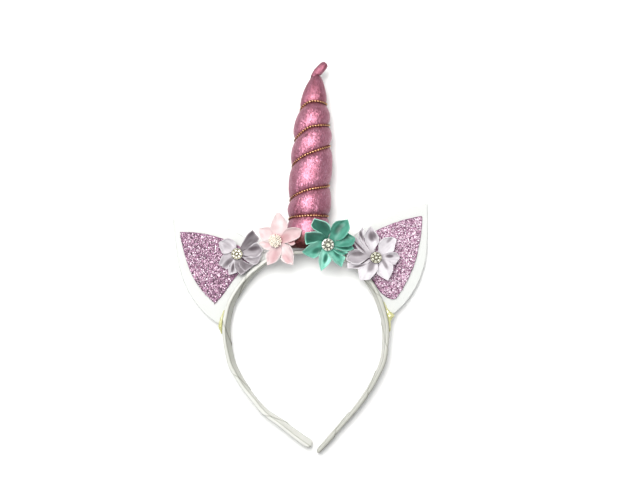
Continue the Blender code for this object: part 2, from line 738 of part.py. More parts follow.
def make_stamens(parts, flower, operands):
    """Domed bunch of stamens with round heads."""
    frame = flower_frame(flower) @ Matrix.Translation((0.0, 0.0, HUB_HEIGHT / 2 + GEM_LIFT))
    heads = bpy.data.collections.new("stamens_pink_heads")
    operands.children.link(heads)
    rings = ((0.0, 1, 1.0), (0.62, 6, 0.72))
    for share, count, rise in rings:
        for i in range(count):
            angle = 2 * math.pi * i / count
            place = Matrix.Translation((STAMEN_RADIUS * share * math.cos(angle),
                                        STAMEN_RADIUS * share * math.sin(angle),
                                        STAMEN_RADIUS * 0.6 * rise))
            bm = bmesh.new()
            bmesh.ops.create_uvsphere(bm, u_segments=7, v_segments=5, radius=STAMEN_BEAD,
                                      matrix=place)
            new_operand("stamen_head_%d_%d" % (count, i + 1), bm, frame, heads, "stamen")
    bm = bmesh.new()
    place = Matrix.Translation((0.0, 0.0, STAMEN_RADIUS * 0.3))
    bmesh.ops.create_cone(bm, cap_ends=True, segments=12, radius1=STAMEN_RADIUS,
                          radius2=STAMEN_RADIUS * 0.55, depth=STAMEN_RADIUS * 0.6, matrix=place)
    base = new_object("stamens_pink", mesh_from(bm, "stamens_pink"), parts, "stamen")
    base.matrix_world = frame
    join_all(base, heads)


def make_glue(parts, side, name):
    """Bead of glue along the seam, over the felt and beside the band, ending in a blob."""
    arm = ARMS[side]
    curve = bpy.data.curves.new(name, "CURVE")
    curve.dimensions = "3D"
    curve.bevel_depth = GLUE_RADIUS
    curve.bevel_resolution = 2
    curve.use_fill_caps = True
    spline = curve.splines.new("POLY")
    steps = 6
    spline.points.add(steps)
    for i in range(steps + 1):
        share = i / steps
        travel = EAR_FOOT - 0.016 + 0.017 * share
        size = 0.55 + (GLUE_BLOB - 0.55) * math.sin(math.pi * min(share, 0.9)) * share
        height = FELT_THICKNESS / 2 + CLEAR + GLUE_RADIUS * size
        aside = arm.outer_face(travel, height + GLUE_RADIUS * size) + CLEAR + GLUE_RADIUS * size
        point = arm.centre(travel) + arm.outward(travel) * aside
        spline.points[i].co = (point.x, point.y, point.z + height, 1.0)
        spline.points[i].radius = size
    new_object(name, curve, parts, "glue")


def main():
    for thing in list(bpy.data.objects):
        bpy.data.objects.remove(thing)
    parts = new_collection("unicorn_horn_headband")
    operands = new_collection("cutters")
    make_band(parts)
    make_horn(parts)
    make_horn_cord(parts)
    for side, name in ((-1, "ear_left"), (1, "ear_right")):
        make_ear(parts, side, name)
    flowers = {flower.name: flower for flower in FLOWERS}
    for flower in FLOWERS:
        make_flower(parts, flower, operands)
    make_gem(parts, "gem_lilac_left", flowers["flower_lilac_left"], GEM_RADIUS_LILAC, operands)
    make_gem(parts, "gem_teal", flowers["flower_teal"], GEM_RADIUS_TEAL, operands)
    make_gem(parts, "gem_lilac_right", flowers["flower_lilac_right"], GEM_RADIUS_LILAC, operands)
    make_stamens(parts, flowers["flower_pink"], operands)
    make_glue(parts, -1, "ear_glue_left")
    make_glue(parts, 1, "ear_glue_right")


main()
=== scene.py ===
"""Looks of the unicorn horn headband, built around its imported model.

Metres, in the model's own frame: the hoop lies level, +X is its right, +Y points from the
tips of the arms to the crown and on along the horn, +Z is up, and the floor is Z = 0.
"""

import math
import random
from collections import namedtuple

import bpy
import numpy as np
from mathutils import Matrix, Vector, noise


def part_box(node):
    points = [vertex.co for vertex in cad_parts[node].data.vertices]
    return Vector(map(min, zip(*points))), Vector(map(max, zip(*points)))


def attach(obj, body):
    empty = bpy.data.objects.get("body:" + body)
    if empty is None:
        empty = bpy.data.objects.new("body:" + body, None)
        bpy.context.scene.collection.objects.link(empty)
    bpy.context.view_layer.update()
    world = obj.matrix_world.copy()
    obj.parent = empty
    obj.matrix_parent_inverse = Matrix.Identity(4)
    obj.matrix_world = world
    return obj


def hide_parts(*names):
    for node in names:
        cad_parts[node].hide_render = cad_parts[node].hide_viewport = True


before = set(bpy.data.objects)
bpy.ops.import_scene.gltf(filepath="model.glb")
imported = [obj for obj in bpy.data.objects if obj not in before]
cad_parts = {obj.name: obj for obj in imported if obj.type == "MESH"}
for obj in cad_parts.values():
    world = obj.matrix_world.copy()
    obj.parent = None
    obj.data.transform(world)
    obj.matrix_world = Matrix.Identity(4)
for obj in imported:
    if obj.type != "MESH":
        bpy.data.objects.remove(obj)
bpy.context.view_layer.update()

# The model's own measures
BAND_WIDTH = 0.0090
BAND_THICKNESS = 0.0026
HOOP_HALF_WIDTH = 0.0595
HOOP_HEIGHT = 0.1484
CROWN_Y = 0.00555
CROWN_DROP = 0.0018
TIP_RISE = 0.0045
SEAT_LENGTH = 0.0120
HORN_LENGTH = 0.1270
HORN_RADIUS = 0.0158
HORN_BASE_X = 0.0037
HORN_SEAT = 0.00095
HORN_FLATTEN = 0.00025
HORN_LEAN = math.radians(6.0)
HORN_DROOP = math.radians(0.7)
GROOVE_DEPTH = 0.0021
TAIL_RADIUS = 0.0033
TAIL_LENGTH = 0.0126
TAIL_BEND = math.radians(40.0)
EAR_HEIGHT = 0.0796
EAR_REACH = 0.0308
EAR_TIP_OUT = 0.0052
EAR_TIP_UP = 0.0030
EAR_TOP = 0.0245
EAR_BULGES = {-1: 0.0082, 1: 0.0058}
FELT_THICKNESS = 0.0015
GLITTER_THICKNESS = 0.0018
HUB_HEIGHT = 0.0034
PETAL_REACH = 0.0200
GLUE_RADIUS = 0.0011
CROWN_RISE = HORN_RADIUS - CROWN_DROP

# Travel from the crown to an ear's lower tip
EAR_FOOT = 0.0866
FELT_GRID = (76, 46)
GLITTER_GRID = (60, 44)
GLITTER_DIP = 0.022
GLITTER_TIP = 0.06
FLAKES_PER_AREA = 3.7e6
FLAKE_SIZES = (0.00032, 0.00054)
FLAKE_DOME = 0.00005

BAND_CORNER = 0.00105
BAND_COUNT = 44
BAND_STEP = 0.00045
BAND_GIRTH = 0.023
# Direction that the band's painted light comes from
BAND_LIGHT = Vector((-0.50, 0.58, 0.64))
BAND_END = 0.0030
RIBBON_PITCH = 0.038
RIBBON_PHASE = 0.947
RIBBON_STEP = 0.00042
RIBBON_RAMP = 0.028
RIBBON_EDGE = 0.010

HORN_COLUMNS = 132
HORN_ROWS = 30
DRAW_REACH = 0.0030
PUFF = 0.0008
TAIL_STEPS = 26
TAIL_ROUNDING = 0.86
TAIL_END = 0.142
CORD_STEP = 0.0062
CORD_PLY = 0.00034
CORD_SPREAD = 0.00040
CORD_LAY = 0.0040
CORD_SIDES = 7
CORD_TUCK = 0.12

RIBBON_THICKNESS = 0.00040
PETAL_ROWS = 36
PETAL_COLUMNS = 27
RIM_BREADTH = 0.00050
HUB_RADIUS = 0.0044
HUB_SIDES = 36
BALL_SIDES = 10
DISH_SIDES = 48
STONE_HEIGHT = 0.75
STONE_FACETS = 7
LARGE_FACETS = 9
STAMEN_COUNT = 74
STAMEN_SPREAD = 0.0050
STAMEN_SIDES = 7
STAMEN_RISE = 0.0030
GOLDEN_TURN = 2.39996
GLUE_STEPS = 90
GLUE_SIDES = 20
GLUE_START = 0.0125
GLUE_PEAK = 0.0116
GLUE_REACHES = {-1: 0.0170, 1: 0.0225}

# All colours but the table's are dimmed by this, to suit the lights
DIM = 0.74
RIGHT, FORWARD, UP = Vector((1, 0, 0)), Vector((0, 1, 0)), Vector((0, 0, 1))


def table(columns, *rows):
    """Rows whose columns have names."""
    kind = namedtuple("Row", columns)
    return [kind(*row) for row in rows]


# Shares of the hoop's half width and height, and degrees
LEFT_ARM = table(
    "out down roll", (0.319, 0.0155, 5), (0.590, 0.0775, 14), (0.798, 0.1611, 20),
    (0.941, 0.2601, 22), (1.000, 0.3787, 21), (0.968, 0.5094, 20), (0.850, 0.6321, 12),
    (0.708, 0.7210, 6), (0.578, 0.7896, 10), (0.365, 0.8600, 18), (0.153, 0.9330, 24),
    (0.022, 0.9740, 26))
RIGHT_ARM = table(
    "out down roll", (0.319, 0.0100, 5), (0.613, 0.0681, 12), (0.790, 0.1557, 17),
    (0.921, 0.2716, 18), (0.982, 0.4077, 16), (0.945, 0.5371, 12), (0.810, 0.6597, 5),
    (0.593, 0.7790, 1), (0.333, 0.8902, 0), (0.044, 1.0080, 0))
# Shares of the horn's length and radius, and of its tail's
HORN_PROFILE = table(
    "height radius", (0.000, 0.76), (0.030, 0.89), (0.126, 0.97), (0.224, 1.00), (0.350, 0.98),
    (0.488, 0.97), (0.563, 0.94), (0.673, 0.89), (0.754, 0.80), (0.827, 0.68), (0.910, 0.50),
    (0.969, 0.34), (1.000, 0.22))
TAIL_ROWS = table(
    "travel bend radius", (0.00, 0.00, 1.02), (0.14, 0.70, 0.92), (0.30, 0.92, 0.98),
    (0.52, 1.00, 1.00), (0.74, 1.03, 0.93), (0.90, 1.06, 0.72), (0.98, 1.08, 0.42))
CORD_TURNS = table(
    "half_turn height", (-1, 0.031), (0, 0.165), (0.5, 0.188), (1, 0.194), (2, 0.272),
    (2.5, 0.337), (3, 0.372), (4, 0.467), (4.5, 0.548), (5, 0.600), (6, 0.620), (6.5, 0.698),
    (7, 0.720), (8, 0.797), (8.5, 0.846), (9, 0.839), (10, 0.975))
# Shares of the way up an ear, along its seam and of its reach and height
EAR_ROWS = table(
    "up along out rise", (0.00, 0.00, 0.00, 0.000), (0.15, 0.13, 0.28, 0.090),
    (0.35, 0.33, 0.64, 0.278), (0.55, 0.54, 0.873, 0.518), (0.78, 0.77, 0.948, 0.755),
    (1.00, 1.00, 1.000, 1.000))
# Bare felt at the seam and at the outer edge, in shares of the ear's reach
GLITTER_ROWS = {
    -1: table(
        "up strip border", (0.288, 0.312, 0.560), (0.330, 0.270, 0.478), (0.420, 0.215, 0.370),
        (0.520, 0.200, 0.300), (0.640, 0.195, 0.235), (0.800, 0.190, 0.170),
        (0.905, 0.190, 0.145)),
    1: table(
        "up strip border", (0.235, 0.235, 0.370), (0.270, 0.150, 0.375), (0.330, 0.070, 0.360),
        (0.420, 0.045, 0.330), (0.520, 0.040, 0.290), (0.640, 0.060, 0.235),
        (0.800, 0.120, 0.170), (0.925, 0.190, 0.150)),
}

Petal = namedtuple("Petal", "angle clockwise counter spot tone lift cup twist rim")
Spot = namedtuple("Spot", "along aside length breadth depth")


def read_petals(*rows):
    """Petals from rows of their columns, in degrees and then in hundredths.

    Both edges go from root to tip, as places along and aside of the petal's direction in
    shares of a petal's usual reach. The spot is painted shade in its hollow. Each petal's
    tone is partly painted light, and its rim a painted highlight.
    """
    petals = []
    for angle, clockwise, counter, spot, *others in rows:
        edges = [[(along / 100, aside / 100) for along, aside in zip(edge[::2], edge[1::2])]
                 for edge in (clockwise, counter)]
        hollow = Spot(*(value / 100 for value in spot))
        petals.append(Petal(angle, *edges, hollow, *(value / 100 for value in others)))
    return petals


TEAL_PETALS = read_petals(
    (49, (25, -13, 49, -27, 75, -24, 96, -20, 116, 0), (31, 10, 51, 25, 71, 31, 87, 27, 116, 0),
     (69, 4, 23, 11, 42), 70, 13, 12, -30, 16),
    (116, (25, -18, 37, -33, 59, -36, 78, -31, 92, -18, 110, 0),
     (41, -5, 60, 8, 78, 19, 93, 20, 110, 0), (62, -12, 30, 21, 12), 47, 13, 8, -34, 62),
    (160, (16, -26, 41, -35, 65, -32, 100, -19), (28, -7, 52, 7, 79, 20),
     (55, -1, 36, 11, 14), 47, 9, 8, -38, 66),
    (191, (21, -17, 43, -21, 69, -21, 97, 0), (23, 10, 42, 32, 61, 35, 89, 13, 97, 0),
     (39, 12, 20, 11, 40), 84, 8, 8, -34, 6),
    (253, (23, -13, 42, -22, 64, -22, 97, 0), (31, 12, 51, 28, 76, 16, 97, 0),
     (50, 7, 17, 8, 55), 95, 6, 11, -26, 4),
    (300, (25, -11, 62, -15, 99, 0), (28, 13, 60, 21, 76, 32, 99, 0),
     (47, 12, 20, 8, 45), 86, 5, 9, -36, 8),
    (336, (27, -12, 57, -19, 73, -12, 85, 1), (29, -5, 57, -7, 72, 0, 85, 1),
     (59, -8, 21, 4, 40), 80, 3, 5, -30, 10),
    (348, (28, -8, 59, -14, 81, -11, 101, -1), (26, -4, 57, -2, 80, 5, 89, 12, 101, -1),
     (61, -5, 25, 5, 35), 80, 6, 6, -42, 12),
    (10, (23, -11, 49, -20, 77, -20, 91, -16, 105, -1), (26, 3, 48, 2, 66, 13, 76, 28, 105, -1),
     (68, 11, 20, 8, 30), 70, 8, 10, -40, 10),
)
PINK_PETALS = read_petals(
    (79, (21, -16, 38, -29, 57, -37, 74, -31, 96, -13, 103, 1),
     (20, 15, 40, 23, 55, 21, 78, 17, 99, 8, 103, 1), (55, 12, 22, 11, 6), 88, 3, 7, 12, 10),
    (146, (32, -23, 44, -28, 62, -18, 79, 0), (22, 10, 28, 18, 46, 24, 63, 13, 79, 0),
     (50, 6, 20, 13, 8), 84, 3, 5, 10, 10),
    (187, (23, 4, 36, -2, 52, -6, 66, 0), (21, 22, 32, 30, 48, 23, 66, 0),
     (35, 13, 14, 8, 20), 82, 5, 5, 14, 12),
    (245, (31, -4, 46, -11, 64, -17, 101, 0), (21, 26, 37, 34, 56, 35, 75, 27, 101, 0),
     (57, 14, 27, 13, 20), 82, -5, 9, 16, 16),
    (300, (32, 3, 53, -11, 67, -23, 84, -19, 108, 1), (28, 17, 43, 34, 63, 36, 85, 26, 108, 1),
     (79, -7, 20, 11, 34), 88, -5, 9, 18, 12),
    (3, (39, -14, 51, -24, 64, -23, 81, 0), (38, -11, 57, -5, 71, 1, 81, 0),
     (54, -11, 13, 4, 60), 66, -2, 5, 24, 10),
    (19, (25, -21, 40, -23, 71, -23, 91, -20, 107, -1), (28, 9, 53, 24, 81, 20, 101, 9, 107, -1),
     (35, -4, 20, 14, 24), 76, 11, 6, 18, 16),
)
LILAC_LEFT_PETALS = read_petals(
    (44, (27, -7, 51, -15, 84, -24, 97, -19), (30, 8, 45, 13, 78, 20, 103, 17),
     (64, -8, 31, 11, 16), 32, 2, 3, 10, 52),
    (145, (16, -18, 20, -26, 37, -35, 60, -31, 79, 0), (20, 2, 31, 16, 45, 25, 61, 15, 79, 0),
     (48, -7, 16, 13, 18), 90, 3, 7, 10, 4),
    (219, (11, -10, 30, -32, 49, -30, 76, -16), (29, 5, 42, 6, 58, 16, 67, 15),
     (44, 0, 27, 8, 50), 80, 2, 3, 8, 10),
    (256, (28, -13, 41, -20, 59, -21, 81, -13), (34, -3, 53, 3, 66, 13),
     (53, -6, 16, 6, 62), 89, 3, 8, 20, 10),
    (285, (18, -15, 38, -22, 52, -23, 79, -9), (26, -3, 44, -5, 72, 9),
     (41, -14, 22, 5, 10), 54, 6, 2, 12, 30),
    (309, (22, -13, 42, -26, 70, -17), (32, -2, 55, 7, 72, 18),
     (45, -9, 20, 9, 10), 48, 9, 2, 12, 36),
    (346, (24, -10, 46, -21, 68, -27, 83, -18), (29, -6, 70, -1, 91, 17),
     (48, -11, 16, 5, 20), 78, 10, 4, 12, 12),
    (6, (24, -9, 47, -19, 66, -25, 86, -12, 95, -1), (27, 8, 49, 16, 69, 27, 82, 27, 95, -1),
     (64, 10, 20, 8, 50), 74, 3, 8, 18, 24),
)
LILAC_RIGHT_PETALS = read_petals(
    (43, (20, -6, 42, -20, 62, -30, 80, -18, 101, -7), (25, 11, 47, 30, 72, 29, 97, 7),
     (80, 9, 13, 5, 20), 95, 3, 5, 14, 6),
    (97, (30, 1, 55, -20, 75, -21, 117, -1), (30, 15, 62, 29, 93, 27, 117, -1),
     (79, 0, 17, 14, 60), 96, 4, 12, 16, 14),
    (110, (32, 10, 65, 18, 89, 13, 109, 0), (29, 21, 77, 32, 101, 29, 123, 2),
     (96, 17, 20, 5, 55), 90, 3, 7, 30, 14),
    (132, (32, 6, 65, 6, 96, -2, 104, -3), (25, 12, 59, 25, 96, 19, 115, 4),
     (71, 14, 29, 3, 60), 84, 1, 5, 34, 16),
    (182, (28, -13, 45, -28, 68, -37, 97, -31, 110, -1), (25, -3, 43, 7, 67, 18, 89, 13, 110, -1),
     (64, -20, 24, 9, 44), 82, 10, 9, 16, 20),
    (191, (26, 1, 51, 11, 73, 9, 107, -9), (24, 9, 50, 21, 74, 24, 92, 16, 112, 11),
     (66, 15, 27, 4, 40), 92, 6, 6, 24, 20),
    (240, (28, -10, 47, -25, 68, -39, 101, -14), (19, 18, 35, 24, 54, 21, 84, 13),
     (37, -1, 20, 11, 44), 97, 9, 6, 16, 2),
    (295, (29, 1, 42, -14, 53, -24, 73, -14, 95, -1), (18, 19, 33, 32, 56, 39, 71, 29, 95, -1),
     (36, 18, 22, 6, 42), 97, 3, 8, 12, 6),
    (357, (36, -7, 53, -24, 69, -24, 87, -2), (35, 14, 53, 19, 73, 18, 87, 3),
     (50, 5, 13, 6, 50), 90, 2, 7, 15, 8),
)

# Travel and out are shares of the hoop's half width, and lift is a share of the horn's radius
# or of half the band's width, by the seat. Tilt and downhill are in degrees.
FLOWERS = table(
    "name side travel out seat lift tilt downhill petals slot",
    ("flower_lilac_left", -1, 0.662, 0.297, "ear", 0.90, 2, 170, LILAC_LEFT_PETALS, "lilac"),
    ("flower_pink", -1, 0.256, 0.193, "horn", 0.652, 17, 205, PINK_PETALS, "pink"),
    ("flower_teal", 1, 0.292, 0.101, "horn", 0.832, 17, -30, TEAL_PETALS, "teal"),
    ("flower_lilac_right", 1, 0.787, 0.245, "ear", 0.86, 2, 10, LILAC_RIGHT_PETALS, "lilac"))


def slope_between(before, after, gap_before, gap_after):
    """Slope at a row from the slopes on both sides of it, flat at a turning point."""
    if before * after <= 0:
        return 0.0
    weight_before = 2 * gap_after + gap_before
    weight_after = gap_after + 2 * gap_before
    return (weight_before + weight_after) / (weight_before / before + weight_after / after)


def read_smooth(places, values, place):
    """Smooth value at a place, through rows of rising places, and straight on past them."""
    gaps = [b - a for a, b in zip(places, places[1:])]
    rises = [(b - a) / gap for a, b, gap in zip(values, values[1:], gaps)]
    if place <= places[0]:
        return values[0] + (place - places[0]) * rises[0]
    if place >= places[-1]:
        return values[-1] + (place - places[-1]) * rises[-1]
    i = max(j for j in range(len(gaps)) if places[j] <= place)
    slopes = []
    for k in (i, i + 1):
        if k in (0, len(rises)):
            slopes.append(rises[max(k - 1, 0)])
        else:
            slopes.append(slope_between(rises[k - 1], rises[k], gaps[k - 1], gaps[k]))
    t = (place - places[i]) / gaps[i]
    return ((1 + 2 * t) * (1 - t) ** 2 * values[i] + t * t * (3 - 2 * t) * values[i + 1]
            + gaps[i] * t * (1 - t) ** 2 * slopes[0] + gaps[i] * t * t * (t - 1) * slopes[1])


def read_table(rows, place_name, value_name, place):
    """Smooth value of one named column of a table at a place in another."""
    places = [getattr(row, place_name) for row in rows]
    values = [getattr(row, value_name) for row in rows]
    return read_smooth(places, values, place)


def bumps(x, y, z, size):
    """Smooth noise from -1 to 1 with features of a given size in metres."""
    return noise.noise(Vector((x / size, y / size, z / size)))


def smooth_step(low, high, value):
    t = min(max((value - low) / (high - low), 0.0), 1.0)
    return t * t * (3 - 2 * t)


def turns(count, shift=0.0):
    """Angles that share a full turn evenly."""
    return [2 * math.pi * (k + shift) / count for k in range(count)]


def spoke(angle):
    return Vector((math.cos(angle), math.sin(angle), 0.0))


def circle(centre, first, second, count, shift=0.0):
    """Points round a centre, from the end of its first arm towards that of its second."""
    return [centre + first * math.cos(turn) + second * math.sin(turn)
            for turn in turns(count, shift)]


def grid(size, point_at):
    """Points for each row and column, from their shares of the way."""
    rows, columns = size
    points = np.zeros((rows, columns, 3))
    for i, j in np.ndindex(rows, columns):
        points[i, j] = point_at(i / (rows - 1), j / (columns - 1))
    return points


def level_circle(centre, rise, radius, count, shift=0.0):
    return circle(centre + UP * rise, RIGHT * radius, FORWARD * radius, count, shift)


def join(ring, loop):
    """Faces between two closed rows of equally many vertices."""
    return [(ring[k - 1], ring[k], loop[k], loop[k - 1]) for k in range(len(ring))]


class Arm:
    """One arm of the band: where its centre is after any travel from the crown."""

    def __init__(self, side, rows):
        self.side = side
        self.outs = [0.0, SEAT_LENGTH / 2] + [row.out * HOOP_HALF_WIDTH for row in rows]
        self.downs = [0.0, 0.0] + [row.down * HOOP_HEIGHT for row in rows]
        self.rolls = [0.0, 0.0] + [row.roll for row in rows]
        places = list(zip(self.outs, self.downs))
        steps = [math.dist(a, b) for a, b in zip(places, places[1:])]
        self.travels = [sum(steps[:k]) for k in range(len(places))]
        self.length = self.travels[-1]

    def centre(self, travel):
        out = read_smooth(self.travels, self.outs, travel)
        down = read_smooth(self.travels, self.downs, travel)
        rise = CROWN_RISE + (TIP_RISE - CROWN_RISE) * down / HOOP_HEIGHT
        return Vector((self.side * out, CROWN_Y - down, rise))

    def roll(self, travel):
        return math.radians(read_smooth(self.travels, self.rolls, travel))

    def ahead(self, travel):
        small = 0.0005
        return self.centre(travel + small) - self.centre(max(travel - small, 0.0))

    def outward(self, travel):
        """Level direction away from the inside of the hoop."""
        ahead = self.ahead(travel)
        return Vector((-self.side * ahead.y, self.side * ahead.x, 0.0)).normalized()

    def outer_face(self, travel, height):
        """Distance of the outer face from the centre, at a height above the centre."""
        roll = self.roll(travel)
        return BAND_THICKNESS / 2 / math.cos(roll) + height * math.tan(roll)


ARMS = {-1: Arm(-1, LEFT_ARM), 1: Arm(1, RIGHT_ARM)}


def add_object(name, data):
    made = bpy.data.objects.new(name, data)
    bpy.context.scene.collection.objects.link(made)
    return made


class Builder:
    """Gathers closed surfaces into one mesh, with a mark and a cut place at each vertex.

    Marks and cut places may be given for each vertex, for each row or as one for all.
    """

    def __init__(self):
        self.verts = []
        self.faces = []
        self.marks = []
        self.cuts = []
        self.slots = []

    def add(self, verts, faces, marks, cuts=(0, 0), slot=0):
        first = len(self.verts)
        self.verts.extend(tuple(v) for v in verts)
        self.faces.extend(tuple(first + i for i in face) for face in faces)
        self.marks.extend(np.broadcast_to(marks, len(verts)))
        self.cuts.extend((*cut, 0.0) for cut in np.broadcast_to(cuts, (len(verts), 2)))
        self.slots.extend([slot] * len(faces))

    def tube(self, rings, marks, cuts=(0, 0), slot=0):
        """Closed tube through rings of equally many points, with a fan at each end."""
        count = len(rings[0])
        verts = [Vector(point) for ring in rings for point in ring]
        loops = [range(i, i + count) for i in range(0, len(verts), count)]
        faces = [face for ring, loop in zip(loops, loops[1:]) for face in join(ring, loop)]
        marks = list(np.broadcast_to(marks, (len(rings), count)).ravel())
        cuts = list(np.broadcast_to(cuts, (len(rings), count, 2)).reshape(-1, 2))
        for loop in (loops[0][::-1], loops[-1]):
            tip = len(verts)
            faces.extend((loop[k - 1], loop[k], tip) for k in range(count))
            verts.append(sum((verts[i] for i in loop), Vector()) / count)
            marks.append(marks[min(loop)])
            cuts.append(cuts[min(loop)])
        self.add(verts, faces, marks, cuts, slot)

    def shell(self, points, thickness, marks, cuts=(0, 0)):
        """Closed sheet about a grid of points, with a rounded edge."""
        rows, columns = points.shape[:2]
        count = rows * columns
        normal = np.cross(np.gradient(points, axis=0), np.gradient(points, axis=1))
        normal /= np.maximum(np.linalg.norm(normal, axis=2, keepdims=True), 1e-12)
        away = points - np.pad(points[1:-1, 1:-1], ((1, 1), (1, 1), (0, 0)), "edge")
        away /= np.maximum(np.linalg.norm(away, axis=2, keepdims=True), 1e-9)
        layers = [points + normal * thickness / 2, points - normal * thickness / 2,
                  points + away * thickness * 0.42]
        top, low, edge = (layer.reshape(-1, 3) for layer in layers)
        numbers = np.arange(count).reshape(rows, columns)
        loop = np.concatenate([numbers[0, :-1], numbers[:-1, -1], numbers[-1, :0:-1],
                               numbers[:0:-1, 0]]).tolist()
        rim = range(2 * count, 2 * count + len(loop))
        faces = join(loop, rim) + join(rim, [count + i for i in loop])
        for a in numbers[:-1, :-1].ravel().tolist():
            faces.append((a, a + columns, a + columns + 1, a + 1))
            faces.append(tuple(count + i for i in (a, a + 1, a + columns + 1, a + columns)))
        marks = np.broadcast_to(marks, (rows, columns)).ravel()
        cuts = np.broadcast_to(cuts, (rows, columns, 2)).reshape(-1, 2)
        self.add(np.concatenate([top, low, edge[loop]]), faces,
                 np.concatenate([marks, marks, marks[loop]]),
                 np.concatenate([cuts, cuts, cuts[loop]]))

    def finish(self, name, node, materials, place=None, flat=False):
        """Makes the object that stands for a node of the model."""
        mesh = bpy.data.meshes.new(name)
        mesh.from_pydata(self.verts, [], self.faces)
        mark = mesh.attributes.new("mark", "FLOAT", "POINT")
        mark.data.foreach_set("value", self.marks)
        cut = mesh.attributes.new("cut", "FLOAT_VECTOR", "POINT")
        cut.data.foreach_set("vector", np.ravel(self.cuts))
        for material in materials:
            mesh.materials.append(material)
        mesh.polygons.foreach_set("material_index", self.slots)
        mesh.polygons.foreach_set("use_smooth", [not flat] * len(self.faces))
        if place is not None:
            mesh.transform(place)
        mesh.update()
        mesh.validate()
        piece = add_object(name, mesh)
        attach(piece, "root")
        if node:
            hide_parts(node)
        return piece


class Finish:
    """A procedural material, built from few words."""

    def __init__(self, name, roughness, metallic=0.0, **others):
        self.material = bpy.data.materials.new(name)
        self.material.use_nodes = True
        self.tree = self.material.node_tree
        self.shader = self.tree.nodes["Principled BSDF"]
        self.set(self.shader, Roughness=roughness, Metallic=metallic, **others)
        self.normal = None

    def set(self, node, *inputs, **others):
        """Gives a node its settings, and its inputs as other nodes' outputs or as values."""
        for key, value in [*others.items(), *enumerate(inputs)]:
            words = key.replace("_", " ") if isinstance(key, str) else key
            if isinstance(key, str) and words not in node.inputs:
                setattr(node, key, value)
            elif isinstance(value, bpy.types.NodeSocket):
                self.tree.links.new(value, node.inputs[words])
            else:
                node.inputs[words].default_value = value
        return node

    def node(self, kind, *inputs, **others):
        return self.set(self.tree.nodes.new("ShaderNode" + kind), *inputs, **others)

    def place(self, kind="object", stretch=(1, 1, 1)):
        """Object coordinates, or the cut places on the cloth, stretched."""
        if kind == "cut":
            source = self.node("Attribute", attribute_name="cut").outputs["Vector"]
        else:
            source = self.node("TexCoord").outputs["Object"]
        return self.node("Mapping", Vector=source, Scale=stretch).outputs["Vector"]

    def mark(self):
        return self.node("Attribute", attribute_name="mark").outputs["Fac"]

    def noise(self, where, scale, detail=4.0, roughness=0.55):
        return self.node("TexNoise", Vector=where, Scale=scale, Detail=detail,
                         Roughness=roughness).outputs["Fac"]

    def cells(self, where, scale, output):
        return self.node("TexVoronoi", Vector=where, Scale=scale).outputs[output]

    def sum(self, base, extra, share):
        """The base plus a share of how far the extra is from its middle."""
        low = self.node("Math", base, share / 2, operation="SUBTRACT").outputs[0]
        return self.node("Math", extra, share, low, operation="MULTIPLY_ADD").outputs[0]

    def colour(self, value, stops, dim=DIM):
        """Colours the surface by a value, through stops from 0 to 1."""
        ramp = self.node("ValToRGB", Fac=value)
        points = ramp.color_ramp.elements
        while len(points) < len(stops):
            points.new(0.5)
        for point, (place, colour) in zip(points, stops):
            point.position = place
            point.color = (*(channel * dim for channel in colour), 1.0)
        self.set(self.shader, Base_Color=ramp.outputs["Color"])

    def rough(self, value, low, high):
        spread = self.node("MapRange", Value=value, To_Min=low, To_Max=high)
        self.set(self.shader, Roughness=spread.outputs["Result"])

    def sparkle(self, where, scale, amount):
        """Leans the surface a little differently in each small cell."""
        cell = self.cells(where, scale, "Color")
        shift = self.node("VectorMath", cell, (0.5, 0.5, 0.5), operation="SUBTRACT")
        lean = self.node("VectorMath", shift.outputs[0], (amount, amount, amount),
                         self.node("NewGeometry").outputs["Normal"], operation="MULTIPLY_ADD")
        self.normal = self.node("VectorMath", lean.outputs[0], operation="NORMALIZE").outputs[0]

    def bump(self, height, strength, distance):
        made = self.node("Bump", Height=height, Strength=strength, Distance=distance)
        if self.normal is not None:
            self.set(made, Normal=self.normal)
        self.normal = made.outputs["Normal"]
        self.set(self.shader, Normal=self.normal)


def satin(name, stops, fleck=0.10, roughness=0.42):
    """Satin ribbon: pale where its mark is high, dark where low, in fine shiny threads."""
    made = Finish(name, roughness, Sheen_Weight=0.2, Specular_IOR_Level=0.22)
    threads = made.noise(made.place("cut", (1, 14, 1)), 260.0, 3.0)
    cloudy = made.noise(made.place(), 240.0, 2.0)
    made.colour(made.sum(made.sum(made.mark(), threads, fleck), cloudy, fleck), stops)
    made.rough(cloudy, roughness - 0.08, roughness + 0.10)
    made.bump(threads, 0.18, 0.0002)
    return made.material


def foil_cloth():
    """Metallic rose cloth, creased into short bright flecks that run along the horn."""
    made = Finish("rose foil cloth", 0.42, 0.86, Coat_Weight=0.12, Coat_Roughness=0.30)
    brush = made.noise(made.place("cut", (1, 0.20, 1)), 1900.0, 3.0, 0.75)
    grain = made.noise(made.place("cut"), 2100.0, 2.0, 0.6)
    cloudy = made.noise(made.place("cut", (1, 0.7, 1)), 170.0, 3.0)
    tone = made.sum(made.sum(made.mark(), brush, 0.90), grain, 0.90)
    made.colour(made.sum(tone, cloudy, 0.40), [
        (0.00, (0.070, 0.012, 0.010)), (0.30, (0.255, 0.070, 0.096)),
        (0.62, (0.455, 0.178, 0.255)), (1.00, (0.79, 0.51, 0.655))])
    made.rough(brush, 0.38, 0.56)
    made.sparkle(made.place("cut", (1, 0.45, 1)), 2300.0, 0.42)
    made.bump(brush, 0.60, 0.00040)
    made.bump(grain, 0.30, 0.00015)
    return made.material


def mottled(made, spread, stops, grain=None):
    """Colour by the mark and a noise, over a grain: scale and detail, then strengths."""
    scale, detail, share = spread
    made.colour(made.sum(made.mark(), made.noise(made.place(), scale, detail), share), stops)
    if grain is not None:
        scale, detail, strength, distance = grain
        made.bump(made.noise(made.place(), scale, detail), strength, distance)
    return made.material


